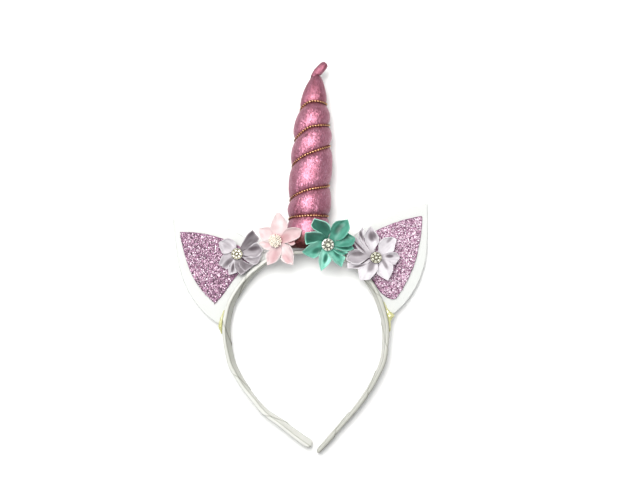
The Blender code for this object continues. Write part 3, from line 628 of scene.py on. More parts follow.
def gold_thread():
    return mottled(Finish("gold twist", 0.34, 0.72), (160.0, 3.0, 0.5), [
        (0.00, (0.10, 0.016, 0.010)), (0.35, (0.30, 0.075, 0.028)),
        (0.65, (0.78, 0.330, 0.120)), (1.00, (1.10, 0.68, 0.36))], (5200.0, 3.0, 0.4, 0.0001))


def felt_cloth():
    made = Finish("white felt", 0.95, Sheen_Weight=0.35, Sheen_Roughness=0.6)
    fibres = made.noise(made.place(), 1500.0, 6.0, 0.7)
    patches = made.noise(made.place(), 90.0, 3.0)
    made.colour(made.sum(made.sum(made.mark(), fibres, 0.5), patches, 0.3), [
        (0.00, (0.60, 0.60, 0.49)), (0.35, (0.845, 0.86, 0.83)), (1.00, (0.915, 0.93, 0.905))])
    made.bump(fibres, 0.7, 0.0005)
    return made.material


def glitter_film():
    made = Finish("glitter film", 0.45, 0.25)
    shade = made.node("SeparateColor", made.cells(made.place(), 1900.0, "Color"))
    made.colour(shade.outputs[0], [
        (0.00, (0.16, 0.05, 0.12)), (0.50, (0.40, 0.16, 0.31)), (1.00, (0.62, 0.32, 0.53))])
    made.bump(made.cells(made.place(), 1900.0, "Distance"), 0.6, 0.0004)
    return made.material


def glitter_flake():
    made = Finish("glitter flake", 0.55, 0.15)
    tone = made.sum(made.mark(), made.noise(made.place(), 700.0, 2.0), 0.12)
    made.colour(tone, [
        (0.00, (0.055, 0.018, 0.040)), (0.25, (0.21, 0.080, 0.155)),
        (0.45, (0.38, 0.175, 0.280)), (0.65, (0.62, 0.350, 0.490)),
        (0.85, (0.90, 0.670, 0.800)), (1.00, (1.08, 0.93, 1.03))])
    made.rough(tone, 0.68, 0.42)
    return made.material


def stone_glass():
    """Foil-backed cut glass, whose facets are painted from nearly black to white, as painted
    reflections.
    """
    made = Finish("cut stone", 0.22, 0.25, Coat_Weight=0.3, Coat_Roughness=0.08)
    return mottled(made, (1300.0, 2.0, 0.15), [
        (0.00, (0.030, 0.028, 0.018)), (0.28, (0.26, 0.25, 0.15)),
        (0.52, (0.86, 0.86, 0.68)), (1.00, (1.25, 1.25, 1.12))])


def stone_setting(name, pale, deep):
    stops = [(0.00, (0.06, 0.05, 0.03)), (0.40, deep), (1.00, pale)]
    return mottled(Finish(name, 0.42, 0.55), (900.0, 3.0, 0.3), stops,
                   (3000.0, 3.0, 0.3, 0.0001))


def stamen_thread():
    return mottled(Finish("cream stamens", 0.48, Sheen_Weight=0.3), (1200.0, 3.0, 0.4), [
        (0.00, (0.72, 0.42, 0.26)), (0.40, (0.93, 0.74, 0.54)), (1.00, (1.00, 0.94, 0.84))],
        (4000.0, 2.0, 0.3, 0.0001))


def dried_glue():
    made = Finish("dried glue", 0.28, Subsurface_Weight=0.25, Coat_Weight=0.3,
                  Subsurface_Radius=(0.002, 0.002, 0.001), Transmission_Weight=0.15)
    return mottled(made, (420.0, 4.0, 0.8), [
        (0.00, (0.42, 0.40, 0.08)), (0.45, (0.72, 0.70, 0.22)), (1.00, (0.90, 0.89, 0.52))],
        (700.0, 4.0, 0.6, 0.0006))


def table_top():
    made = Finish("pale table", 0.85)
    made.colour(made.noise(made.place(), 18.0), [
        (0.30, (0.930, 0.928, 0.918)), (0.70, (0.945, 0.943, 0.936))], dim=1.0)
    made.bump(made.noise(made.place(), 900.0, 3.0), 0.05, 0.0002)
    return made.material


SATINS = {
    "satin": [(0.00, (0.09, 0.09, 0.065)), (0.35, (0.34, 0.34, 0.290)),
              (0.70, (0.61, 0.61, 0.545)), (1.00, (0.93, 0.93, 0.88))],
    "lilac": [(0.00, (0.045, 0.033, 0.040)), (0.30, (0.135, 0.110, 0.125)),
              (0.60, (0.27, 0.235, 0.256)), (0.82, (0.49, 0.445, 0.480)),
              (1.00, (0.88, 0.835, 0.875))],
    "pink": [(0.00, (0.28, 0.09, 0.10)), (0.30, (0.56, 0.27, 0.28)),
             (0.60, (0.74, 0.46, 0.48)), (0.82, (0.88, 0.66, 0.67)),
             (1.00, (1.00, 0.89, 0.88))],
    "teal": [(0.00, (0.003, 0.030, 0.020)), (0.30, (0.018, 0.115, 0.078)),
             (0.60, (0.050, 0.245, 0.175)), (0.82, (0.135, 0.480, 0.360)),
             (1.00, (0.440, 0.920, 0.760))],
}


def band_outline():
    """Points round the band's section: place, outward direction and share of the way."""
    flat = BAND_THICKNESS / 2 - BAND_CORNER
    tall = BAND_WIDTH / 2 - BAND_CORNER
    arc = math.pi / 2 * BAND_CORNER
    corners = ((flat, tall), (-flat, tall), (-flat, -tall), (flat, -tall))
    middles = [(flat, 0), *(corner for corner in corners for _ in range(2)), (flat, 0)]
    ways = np.cumsum([0, tall, arc, 2 * flat, arc, 2 * tall, arc, 2 * flat, arc, tall])
    outline = []
    for k in range(BAND_COUNT):
        share = k / BAND_COUNT
        a, b, quarter = (float(np.interp(share * ways[-1], ways, column))
                         for column in (*zip(*middles), (0, 0, 1, 1, 2, 2, 3, 3, 4, 4)))
        na, nb = math.cos(math.pi / 2 * quarter), math.sin(math.pi / 2 * quarter)
        outline.append((a + BAND_CORNER * na, b + BAND_CORNER * nb, na, nb, share))
    return outline


def ribbon_push(place, q):
    """How far the wound ribbon stands out, and how near its free edge is."""
    phase = (place / RIBBON_PITCH + q + RIBBON_PHASE) % 1.0
    if phase > 1 - RIBBON_RAMP:
        level = smooth_step(1 - RIBBON_RAMP, 1.0, phase)
    else:
        level = (1 - phase / (1 - RIBBON_RAMP)) ** 1.4
    return RIBBON_STEP * level, math.exp(-(min(phase, 1 - phase) / RIBBON_EDGE) ** 2)


def make_band(material):
    outline = band_outline()
    rings, marks, cuts = [], [], []
    total = ARMS[-1].length + ARMS[1].length
    steps = int(total / BAND_STEP)
    for i in range(steps + 1):
        place = total * i / steps - ARMS[-1].length
        side = -1 if place < 0 else 1
        arm = ARMS[side]
        travel = abs(place)
        centre = arm.centre(travel)
        outward = arm.outward(travel)
        up = (arm.ahead(travel).cross(outward) * side).normalized()
        roll = arm.roll(travel)
        across = outward * math.cos(roll) - up * math.sin(roll)
        along_width = up * math.cos(roll) + outward * math.sin(roll)
        left = min((arm.length - travel) / BAND_END, 1.0)
        taper = 0.28 + 0.72 * math.sqrt(max(1 - (1 - left) ** 2, 0.0))
        # Painted light and shade: the right arm is painted a little darker, more so towards its tip,
        # and the left arm lighter by as much
        painted_side_shade = 0.03 * side + 0.14 * side * smooth_step(0.10, 0.14, travel)
        ring, tones = [], []
        for a, b, na, nb, q in outline:
            push, near = ribbon_push(place, q)
            push += bumps(place, q * BAND_GIRTH, 0.0, 0.0022) * 0.00005
            push += bumps(place, q * BAND_GIRTH, 0.4, 0.0090) * 0.00010
            facing = across * na + along_width * nb
            ring.append(centre + (across * a + along_width * b + facing * push) * taper)
            # Painted shade: a thin dark line along both long edges of the band, left off its upper
            # edge, and a dark line along the ribbon's free edge, where one wrap lies over the next
            seam = math.exp(-((abs(b) - BAND_WIDTH / 2 + 0.0010) / 0.00035) ** 2)
            shade = 0.60 * near + 0.34 * seam * (nb < 0.5) + painted_side_shade
            # Painted light: faces turned towards BAND_LIGHT are painted lighter, those turned away
            # darker
            tones.append(0.555 + 0.40 * facing.dot(BAND_LIGHT) - shade)
        rings.append(ring)
        marks.append(tones)
        cuts.append([(place, point[-1] * BAND_GIRTH) for point in outline])
    builder = Builder()
    builder.tube(rings, marks, cuts)
    builder.finish("wound_band", "band", [material])


def horn_frame():
    """Where the horn's base is, and its directions: along it, across it and up from it."""
    along = Vector((math.sin(HORN_LEAN), math.cos(HORN_LEAN), 0.0)) * math.cos(HORN_DROOP)
    along.z = -math.sin(HORN_DROOP)
    across = Vector((math.cos(HORN_LEAN), -math.sin(HORN_LEAN), 0.0))
    base_y = CROWN_Y + BAND_THICKNESS / 2 + HORN_SEAT
    belly = max(HORN_PROFILE, key=lambda row: row.radius).height * HORN_LENGTH
    base_z = HORN_RADIUS + belly * math.sin(HORN_DROOP) - HORN_FLATTEN
    return Vector((HORN_BASE_X, base_y, base_z)), along, across, across.cross(along)


HORN_BASE, HORN_ALONG, HORN_ACROSS, HORN_UP = horn_frame()


def cord_height(half_turn):
    return read_table(CORD_TURNS, "half_turn", "height", half_turn) * HORN_LENGTH


def horn_girth(height):
    return read_table(HORN_PROFILE, "height", "radius", height / HORN_LENGTH) * HORN_RADIUS


def groove_depth(height):
    return GROOVE_DEPTH * min(1.0, horn_girth(height) / HORN_RADIUS * 1.3)


def around(height, radius, half_turn):
    """Point on the horn at a height, a radius and a turn that starts on its left."""
    angle = math.pi * half_turn
    away = HORN_UP * math.sin(angle) - HORN_ACROSS * math.cos(angle)
    return HORN_BASE + HORN_ALONG * height + away * radius


def horn_radius(height, low, high, half_turn, turn):
    """Radius of the stuffed cloth between two passes of the cord, and how near they are."""
    girth = horn_girth(height)
    below = max(height - low, 0.0)
    above = max(high - height, 0.0)
    near = min(below, above)
    draw = sum(math.exp(-(away / DRAW_REACH) ** 1.15) for away in (below, above))
    radius = girth - groove_depth(height) * min(draw, 1.0)
    seam = (half_turn + 2 * turn) * math.pi * girth
    layer = 0.0 if below < above else 0.3
    gather = bumps(seam, layer, 0.0, 0.0021) + 0.6 * bumps(seam, layer + 0.5, 0.1, 0.0010)
    radius += gather * 0.00034 * math.exp(-near / 0.0024) * min(1.0, near / 0.0007)
    angle = math.pi * half_turn
    x, y = math.cos(angle) * girth, math.sin(angle) * girth
    radius += bumps(x, y, height * 0.22, 0.0030) * 0.00022
    radius += bumps(x, y, height, 0.0120) * 0.00030
    radius += PUFF * (0.5 - math.exp(-(near / 0.0052) ** 1.5))
    return radius, near


def horn_column(c):
    """Height, point and nearness of the cord for each row of the horn's cloth, upwards."""
    half_turn = 2.0 * c / HORN_COLUMNS
    whole = range(CORD_TURNS[0].half_turn // 2 - 1, CORD_TURNS[-1].half_turn // 2 + 2)
    passes = [cord_height(half_turn + 2 * turn) for turn in whole]
    column = []
    for turn, low, high in zip(whole, passes, passes[1:]):
        for row in range(HORN_ROWS):
            share = 0.35 - 0.35 * math.cos(math.pi * row / HORN_ROWS) + 0.3 * row / HORN_ROWS
            height = low + (high - low) * share
            clamped = min(max(height, 0.0), HORN_LENGTH)
            radius, near = horn_radius(clamped, low, high, half_turn, turn)
            if clamped != height:
                radius = horn_girth(clamped)
            point = around(clamped, radius, half_turn)
            point.z = max(point.z, 0.0)
            column.append((clamped, point, near))
    return column


def make_horn(material):
    """Stuffed cloth whose faces run along the helix, so that the cord's groove is sharp."""
    columns = [horn_column(c) for c in range(HORN_COLUMNS)]
    angles = turns(HORN_COLUMNS)
    verts, faces, marks, cuts = [], [], [], []
    known = {}

    def vert(point, mark, cut):
        verts.append(point)
        marks.append(mark)
        cuts.append(cut)
        return len(verts) - 1

    def corner(c, row):
        """Vertex of a row, where the column past the last is the first one a turn higher."""
        if c == HORN_COLUMNS:
            c, row = 0, row + HORN_ROWS
        height, point, near = columns[c][min(max(row, 0), len(columns[c]) - 1)]
        key = c, round(height, 7)
        if key not in known:
            # Painted shade: darker along the cord's groove and over the cloth near the base, under
            # the flowers; the cloth is also made a little darker towards the tip
            shade = 0.45 * math.exp(-(near / 0.0012) ** 1.2)
            shade += 0.62 * (1 - smooth_step(0.0085, 0.0130, height))
            shade += 0.10 * smooth_step(0.090, 0.120, height)
            known[key] = vert(point, 0.56 - shade, (angles[c] * HORN_RADIUS * 0.9, height))
        return known[key]

    for c in range(HORN_COLUMNS):
        for row in range(-HORN_ROWS, len(columns[0]) - 1):
            corners = dict.fromkeys(corner(*place) for place in (
                (c, row), (c + 1, row), (c + 1, row + 1), (c, row + 1)))
            if len(corners) > 2:
                faces.append(tuple(corners))
    ring = [known[c, 0.0] for c in range(HORN_COLUMNS)]
    # The closing end at the base is painted dark, as shade
    for inward, sink in ((0.86, 0.0006), (0.60, 0.0012), (0.30, 0.0010)):
        loop = []
        for angle in angles:
            pleat = 1 + 0.05 * math.sin(14 * angle) * (1 - inward)
            radius = horn_girth(0.0) * inward * pleat
            point = around(sink * (1 - inward), radius, angle / math.pi)
            loop.append(vert(point, 0.12, (angle * HORN_RADIUS, -radius)))
        faces.extend(join(loop, ring))
        ring = loop
    faces.append(tuple(reversed(ring)))
    ring = [known[c, round(HORN_LENGTH, 7)] for c in range(HORN_COLUMNS)]
    centre = HORN_BASE + HORN_ALONG * HORN_LENGTH
    for i in range(1, TAIL_STEPS + 1):
        share = i / TAIL_STEPS
        bend = TAIL_BEND * read_table(TAIL_ROWS, "travel", "bend", share)
        facing = HORN_ALONG * math.cos(bend) + HORN_ACROSS * math.sin(bend)
        side = HORN_ACROSS * math.cos(bend) - HORN_ALONG * math.sin(bend)
        centre = centre + facing * TAIL_LENGTH / TAIL_STEPS
        if share > TAIL_ROUNDING:
            round_off = 1 - ((share - TAIL_ROUNDING) / TAIL_END) ** 2
            radius = TAIL_RADIUS * 0.80 * math.sqrt(max(round_off, 0.01))
        else:
            radius = TAIL_RADIUS * read_table(TAIL_ROWS, "travel", "radius", share)
        loop = []
        for angle in angles:
            x, y = math.cos(angle), math.sin(angle)
            crease = math.exp(-((share - 0.10) / 0.07) ** 2) * max(0.0, -x) ** 3
            ripple = bumps(x * 0.003, y * 0.003, share * 0.004, 0.0016) * 0.00022
            point = centre + (HORN_UP * y - side * x) * (radius * (1 - 0.30 * crease) + ripple)
            cut = (angle * HORN_RADIUS * 0.9, HORN_LENGTH + share * TAIL_LENGTH)
            # The tail is a little darker than the horn, and its crease is painted darker still, as
            # shade
            loop.append(vert(point, 0.44 - 0.35 * crease, cut))
        faces.extend(join(ring, loop))
        ring = loop
    faces.append(tuple(ring))
    builder = Builder()
    builder.add(verts, faces, marks, cuts)
    piece = builder.finish("stuffed_horn", "horn", [material])


def make_cord(material):
    """Two plies twisted round each other along the groove."""
    first, last = CORD_TURNS[0].half_turn, CORD_TURNS[-1].half_turn - CORD_TUCK
    count = int((last - first) / CORD_STEP)
    path = []
    for i in range(count + 1):
        half_turn = first + (last - first) * i / count
        height = cord_height(half_turn)
        radius = horn_girth(height) - groove_depth(height) + 0.00052
        here = around(height, radius, half_turn)
        path.append((here, around(height, radius + 0.001, half_turn) - here))
    builder = Builder()
    for start in (0.0, math.pi):
        rings, marks = [], []
        travel = 0.0
        for i, (here, outward) in enumerate(path):
            before = path[max(i - 1, 0)][0]
            tangent = (path[min(i + 1, count)][0] - before).normalized()
            normal = outward.normalized()
            normal = (normal - tangent * normal.dot(tangent)).normalized()
            side = tangent.cross(normal)
            travel += (here - before).length
            spin = start + 2 * math.pi * travel / CORD_LAY
            middle = here + (normal * math.cos(spin) + side * math.sin(spin)) * CORD_SPREAD
            rings.append(circle(middle, normal * CORD_PLY, side * CORD_PLY, CORD_SIDES))
            # Painted highlights and shade: bright where the plies crest and dark between them, twice
            # each lay, with painted shade on the stretches along the horn's left side
            shaded = 0.45 * smooth_step(0.20, 0.80, -normal.x)
            marks.append([0.62 + 1.15 * math.cos(4 * math.pi * travel / CORD_LAY) - shaded])
        builder.tube(rings, marks)
    builder.finish("twisted_cord", "horn_cord", [material])


def ear_seam(side, up):
    """Where the felt meets the band's outer face, from the ear's lower tip up."""
    arm = ARMS[side]
    travel = EAR_FOOT + (EAR_TOP - EAR_FOOT) * read_table(EAR_ROWS, "up", "along", up)
    face = arm.outer_face(travel, FELT_THICKNESS) + 0.0003
    return arm.centre(travel) + arm.outward(travel) * face


def ear_point(side, up, out):
    """Point in the middle of the felt: up from lower tip to top edge, out from the seam."""
    seam = ear_seam(side, up)
    reach = EAR_TIP_OUT + read_table(EAR_ROWS, "up", "out", up) * EAR_REACH
    rise = EAR_TIP_UP + read_table(EAR_ROWS, "up", "rise", up) * EAR_HEIGHT
    edge = Vector((side * (HOOP_HALF_WIDTH + reach), ear_seam(side, 0.0).y + rise, seam.z))
    run = edge - seam
    bulge = Vector((-side * run.y, side * run.x, 0.0)).normalized()
    point = seam + run * out + bulge * (EAR_BULGES[side] * 4 * out * (1 - out) * up ** 3)
    apex_run = HOOP_HALF_WIDTH + EAR_TIP_OUT + EAR_REACH - EAR_TOP
    fall = seam.z - FELT_THICKNESS / 2
    point.z = seam.z - fall * min(1.0, run.length * out / apex_run)
    return point


def ragged(point, layer, other_layer, size, reach):
    """Moves a point of a cut edge a little, as fibres and grains do."""
    point.x += bumps(point.x, point.y, layer, size) * reach
    point.y += bumps(point.x, point.y, other_layer, size) * reach


def make_felt(side, name, material):
    def felt_point(up, out):
        point = ear_point(side, up, out)
        if up in (0, 1) or out == 1:
            ragged(point, 0.1, 0.7, 0.0009, 0.00022)
        lift = bumps(point.x, point.y, 0.3, 0.0110) * 0.00022
        lift += bumps(point.x, point.y, 0.6, 0.0016) * 0.00007
        point.z = max(point.z + lift, FELT_THICKNESS / 2)
        return point

    near_glue = np.exp(-(np.linspace(0, 1, FELT_GRID[0])[:, None] / 0.06) ** 2)
    builder = Builder()
    builder.shell(grid(FELT_GRID, felt_point)[:, ::side], FELT_THICKNESS, 0.62 - 0.5 * near_glue)
    piece = builder.finish(name + "_felt_sheet", name + "_felt", [material])


def glitter_point(side, rise, share):
    """Middle of the glitter sheet: rise from its lower tip to its top, share outwards."""
    rows = GLITTER_ROWS[side]
    low, high = rows[0].up, rows[-1].up
    top = high - GLITTER_DIP * share ** 2
    up = low + (top - low) * rise ** 1.4
    width = (ear_point(side, up, 1.0) - ear_point(side, up, 0.0)).length
    start = read_table(rows, "up", "strip", up) * EAR_REACH / width
    border = read_table(rows, "up", "border", up) * EAR_REACH / width
    point = ear_point(side, up, start + max(1 - border - start, 0.0) * share)
    point.z += (FELT_THICKNESS + GLITTER_THICKNESS) / 2 + 0.0002
    if rise > GLITTER_TIP and (rise == 1 or share in (0, 1)):
        ragged(point, 0.2, 0.9, 0.0010, 0.0003)
    return point


def make_glitter(side, name, film):
    """Foam sheet on the felt, whose grid of points the flakes lie on."""
    points = grid(GLITTER_GRID, lambda rise, share: glitter_point(side, rise, share))[:, ::side]
    builder = Builder()
    builder.shell(points, GLITTER_THICKNESS, 0.5)
    sheet = builder.finish(name + "_glitter_sheet", name + "_glitter", [film])
    return points


def make_flakes(side, name, points, flake, seed):
    """Loose flakes that lean all ways, with painted shade near the seam."""
    rng = random.Random(seed)
    builder = Builder()
    faces = [(k - 1 if k else 5, k, 6) for k in range(6)]
    faces += [(k, k - 1 if k else 5, 7) for k in range(6)]
    rows, columns = GLITTER_GRID
    for i, j in np.ndindex(rows - 1, columns - 1):
        a, b = points[i, j], points[i, j + 1]
        c, d = points[i + 1, j + 1], points[i + 1, j]
        normal = np.cross(c - a, d - b)
        area = np.linalg.norm(normal) / 2
        if area < 1e-10:
            continue
        normal = Vector(normal).normalized()
        if normal.z < 0:
            normal = -normal
        wanted = area * FLAKES_PER_AREA
        inner = j if side > 0 else columns - 2 - j
        for _ in range(int(wanted) + (rng.random() < wanted % 1)):
            s, t = rng.random(), rng.random()
            spot = (a * (1 - s) + b * s) * (1 - t) + (d * (1 - s) + c * s) * t
            lean = Vector((rng.gauss(0, 0.26), rng.gauss(0, 0.26), 1.0)).normalized()
            facing = (normal + Vector((lean.x, lean.y, 0.0))).normalized()
            spin = Vector((rng.random() - 0.5, rng.random() - 0.5, 0.1)).normalized()
            first = facing.cross(spin).normalized()
            size = rng.uniform(*FLAKE_SIZES)
            raised = GLITTER_THICKNESS / 2 + rng.uniform(0.00003, 0.00026)
            middle = Vector(spot) + normal * raised
            rim = circle(middle, first * size, facing.cross(first) * size, 6)
            dome = facing * FLAKE_DOME
            # Painted shade: flakes near the seam are darker; those on the right ear are lighter all
            # over
            tone = rng.gauss(0.45 + 0.11 * side, 0.42) - 0.30 * math.exp(-inner / 4.0)
            builder.add([*rim, middle + dome, middle - dome], faces, min(max(tone, 0.0), 1.0))
    builder.finish(name + "_glitter_flakes", None, [flake], flat=True)


def flower_frame(flower):
    """Place and lean of a flower: its own +Z is the way that it faces."""
    downhill = math.radians(flower.downhill)
    axis = Vector((-math.sin(downhill), math.cos(downhill), 0.0))
    arm = ARMS[flower.side]
    travel = flower.travel * HOOP_HALF_WIDTH
    place = arm.centre(travel) + arm.outward(travel) * flower.out * HOOP_HALF_WIDTH
    measure = HORN_RADIUS if flower.seat == "horn" else BAND_WIDTH / 2
    place.z = CROWN_RISE + flower.lift * measure
    return Matrix.Translation(place) @ Matrix.Rotation(math.radians(flower.tilt), 4, axis)


def read_edge(edge, count):
    """Evenly spaced places along an edge whose corners are cut round twice."""
    root = Vector(edge[0])
    line = [Vector((root.x * 0.45, root.y * 0.60))] + [Vector(p) for p in edge]
    for share in (0.13, 0.22):
        cut = [line[0]]
        for a, b in zip(line, line[1:]):
            cut.extend((a.lerp(b, share), a.lerp(b, 1 - share)))
        line = cut + [line[-1]]
    steps = np.cumsum([0.0] + [(b - a).length for a, b in zip(line, line[1:])])
    places = np.linspace(0, steps[-1] * 0.99, count)
    return np.stack([np.interp(places, steps, [p[axis] for p in line]) for axis in (0, 1)], 1)


def petal_length(petal):
    return (Vector(petal.counter[-1]) - Vector(petal.counter[0])).length * PETAL_REACH


def add_petal(builder, petal, seed):
    """One folded petal: a cupped sheet between its two edges, with painted shade in its hollow."""
    turn = np.array(Matrix.Rotation(math.radians(petal.angle), 3, "Z"))
    low = read_edge(petal.clockwise, PETAL_ROWS)
    high = read_edge(petal.counter, PETAL_ROWS)
    spot, length = petal.spot, petal_length(petal)
    points = np.zeros((PETAL_ROWS, PETAL_COLUMNS, 3))
    marks = np.zeros((PETAL_ROWS, PETAL_COLUMNS))
    cuts = np.zeros((PETAL_ROWS, PETAL_COLUMNS, 2))
    for i, j in np.ndindex(PETAL_ROWS, PETAL_COLUMNS):
        s = i / (PETAL_ROWS - 1)
        t = 2 * j / (PETAL_COLUMNS - 1) - 1
        t = t * (1.28 - 0.28 * t * t)
        breadth = np.linalg.norm(high[i] - low[i])
        open_up = smooth_step(0.05, 0.55, s)
        along, aside = low[i] + (high[i] - low[i]) * (t * 1.05 + 1) / 2
        wall = abs(t) ** 2.6 * min(1.0, breadth / 0.4)
        height = petal.lift * s ** 1.5 + 1.5 * petal.cup * wall * open_up
        height += 1.3 * petal.twist * t * breadth / 2 * open_up
        height += 0.45 * petal.cup * smooth_step(0.72, 1.0, s)
        place = turn @ (along, aside, height) * PETAL_REACH
        ripple = bumps(along * 0.02, aside * 0.02, seed * 0.01, 0.0042) * open_up
        points[i, j] = place + (0, 0, 0.00040 * ripple)
        # Painted shade in the hollow and at the root, and a painted highlight along the rim; the
        # petal's tone is partly painted light
        hollow = ((along - spot.along) / spot.length) ** 2
        hollow += ((aside - spot.aside) / spot.breadth) ** 2
        edge = min((1 - abs(t)) * breadth * PETAL_REACH / 2, (1 - s) * length)
        rim = math.exp(-(edge / RIM_BREADTH) ** 2) * smooth_step(0.15, 0.45, s)
        root = 1 - smooth_step(0.0, 0.28, s)
        streak = bumps(aside * 0.02 + seed, along * 0.003, seed * 0.7, 0.0016) * open_up
        marks[i, j] = (petal.tone - spot.depth * math.exp(-hollow ** 2.0) - 0.16 * root
                       + 0.08 * streak + petal.rim * rim)
        cuts[i, j] = (aside * PETAL_REACH, along * PETAL_REACH)
    builder.shell(points, RIBBON_THICKNESS, np.clip(marks, 0.02, 1.0), cuts)


def make_flower(flower, material):
    builder = Builder()
    for k, petal in enumerate(flower.petals):
        add_petal(builder, petal, k + len(flower.name))
    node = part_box(flower.name)
    place = flower_frame(flower)
    bottom = node[0][2] - place.translation.z + 0.0004 if flower.seat == "ear" else -0.0016
    top = HUB_HEIGHT / 2
    profile = [(0.50, bottom), (0.98, bottom + 0.0002), (1.00, bottom + 0.0006),
               (1.00, top - 0.0006), (0.92, top), (0.30, top)]
    angles = turns(HUB_SIDES)
    outline = [spoke(angle) * HUB_RADIUS * (1 + 0.03 * math.sin(9 * angle)) for angle in angles]
    rings = [[point * share + UP * height for point in outline] for share, height in profile]
    cuts = [[(angle * 0.004, height) for angle in angles] for _, height in profile]
    builder.tube(rings, 0.34, cuts)
    piece = builder.finish(flower.name + "_ribbon", flower.name, [material], place)


def add_stone(builder, place, radius, facets, rng, top=0.40):
    """Cut stone with flat facets: girdle, crown facets and table, each with its own tone, as painted
    reflections.
    """
    height = radius * STONE_HEIGHT
    low, girdle, crown, flat = (
        level_circle(place, height * rise, radius * share, facets, shift)
        for share, rise, shift in ((0.92, 0.0, 0), (1.0, 0.25, 0), (0.80, 0.72, 0.5), (top, 1.0, 0)))

    def face(tone, *corners):
        builder.add(corners, [range(len(corners))], tone)

    face(0.3, *reversed(low))
    for k in range(facets):
        m = (k + 1) % facets
        face(0.45, low[k], low[m], girdle[m], girdle[k])
        face(rng.uniform(0.25, 1.0), girdle[k], girdle[m], crown[k])
        face(rng.uniform(0.1, 0.9), crown[k], girdle[m], crown[m])
        face(rng.uniform(0.3, 1.0), crown[k], crown[m], flat[m])
        face(rng.uniform(0.0, 1.0), crown[k], flat[m], flat[k])
    for k in range(facets):
        face(rng.uniform(0.35, 1.0), flat[k], flat[(k + 1) % facets], place + UP * height * 1.04)


def add_ball(builder, place, radius, tone, layers=6):
    lifts = [math.pi * (i + 0.5) / layers - math.pi / 2 for i in range(layers)]
    rings = [level_circle(place, radius * math.sin(lift), radius * math.cos(lift), BALL_SIDES)
             for lift in lifts]
    builder.tube(rings, tone, slot=1)


def add_dish(builder, place, radius, profile):
    """Turned metal, from rows of its radius in shares, height and mark."""
    rings = [level_circle(place, rise, radius * share, DISH_SIDES) for share, rise, _ in profile]
    builder.tube(rings, [[mark] for _, _, mark in profile], slot=1)


def make_gem(name, flower, radius, count, middle, glass, setting, seed):
    """Setting with a ring of small stones, held by beads, about a larger stone."""
    rng = random.Random(seed)
    builder = Builder()
    base = UP * (HUB_HEIGHT / 2 + 0.0001)
    # Painted shade: the dish's floor under the stones is painted black
    add_dish(builder, base, radius, [
        (0.70, 0.0, 0.54), (0.96, 0.0001, 0.63), (1.00, 0.0004, 0.9), (0.98, 0.0009, 0.9),
        (0.90, 0.0011, 0.9), (0.86, 0.0008, 0.0), (0.60, 0.0007, 0.0), (0.20, 0.0008, 0.0)])
    ring = radius * (1 + middle) / 2 * 0.97
    small = min(math.pi * ring / count * 0.82, radius * (0.98 - middle) / 2)
    for k in range(count):
        angle = 2 * math.pi * k / count + rng.uniform(-0.03, 0.03)
        place = base + spoke(angle) * ring + UP * 0.0008
        add_stone(builder, place, small, STONE_FACETS, rng)
        aside = spoke(angle + math.pi / count) * radius
        # The beads between the stones are painted nearly black, as the shade in the gaps
        for reach in (0.93, middle + 0.06):
            add_ball(builder, base + aside * reach + UP * 0.0012, radius * 0.085, 0.10)
    # Painted shade: the inner dish darkens into its hollow
    add_dish(builder, base, radius * middle, [
        (0.50, 0.0005, 0.285), (1.00, 0.0006, 0.285), (1.04, 0.0016, 0.19),
        (0.94, 0.0018, 0.285), (0.90, 0.0014, 0.0), (0.30, 0.0013, 0.0)])
    add_stone(builder, base + UP * 0.0014, radius * middle * 0.80, LARGE_FACETS, rng, top=0.46)
    builder.finish(name + "_stones", name, [glass, setting], flower_frame(flower), True)


def make_stamens(flower, material):
    """Domed bunch of short threads with round heads."""
    rng = random.Random(41)
    builder = Builder()
    shape = [(0.0, 0.16), (0.35, 0.15), (0.62, 0.16), (0.72, 0.34), (0.84, 0.50),
             (0.95, 0.50), (1.05, 0.34), (1.10, 0.14)]
    paleness = np.array([[0.55 + 0.45 * smooth_step(0.5, 0.9, along)] for along, _ in shape])
    for k in range(STAMEN_COUNT):
        share = math.sqrt((k + 0.5) / STAMEN_COUNT)
        angle = k * GOLDEN_TURN + rng.uniform(-0.12, 0.12)
        aside = spoke(angle) * STAMEN_SPREAD * share
        foot = aside * 0.45 + UP * HUB_HEIGHT / 2
        rise = STAMEN_RISE * math.sqrt(max(1 - 0.72 * share ** 2, 0.0))
        rise += rng.uniform(-0.0002, 0.0002)
        thread = aside * 0.55 + UP * rise
        first = thread.orthogonal().normalized()
        second = thread.normalized().cross(first)
        size = rng.uniform(0.00110, 0.00135)
        rings = [circle(foot + thread * along, first * size * width, second * size * width,
                        STAMEN_SIDES) for along, width in shape]
        builder.tube(rings, rng.uniform(0.60, 1.0) * paleness)
    builder.finish("stamens_pink_heads", "stamens_pink", [material],
                   flower_frame(flower))


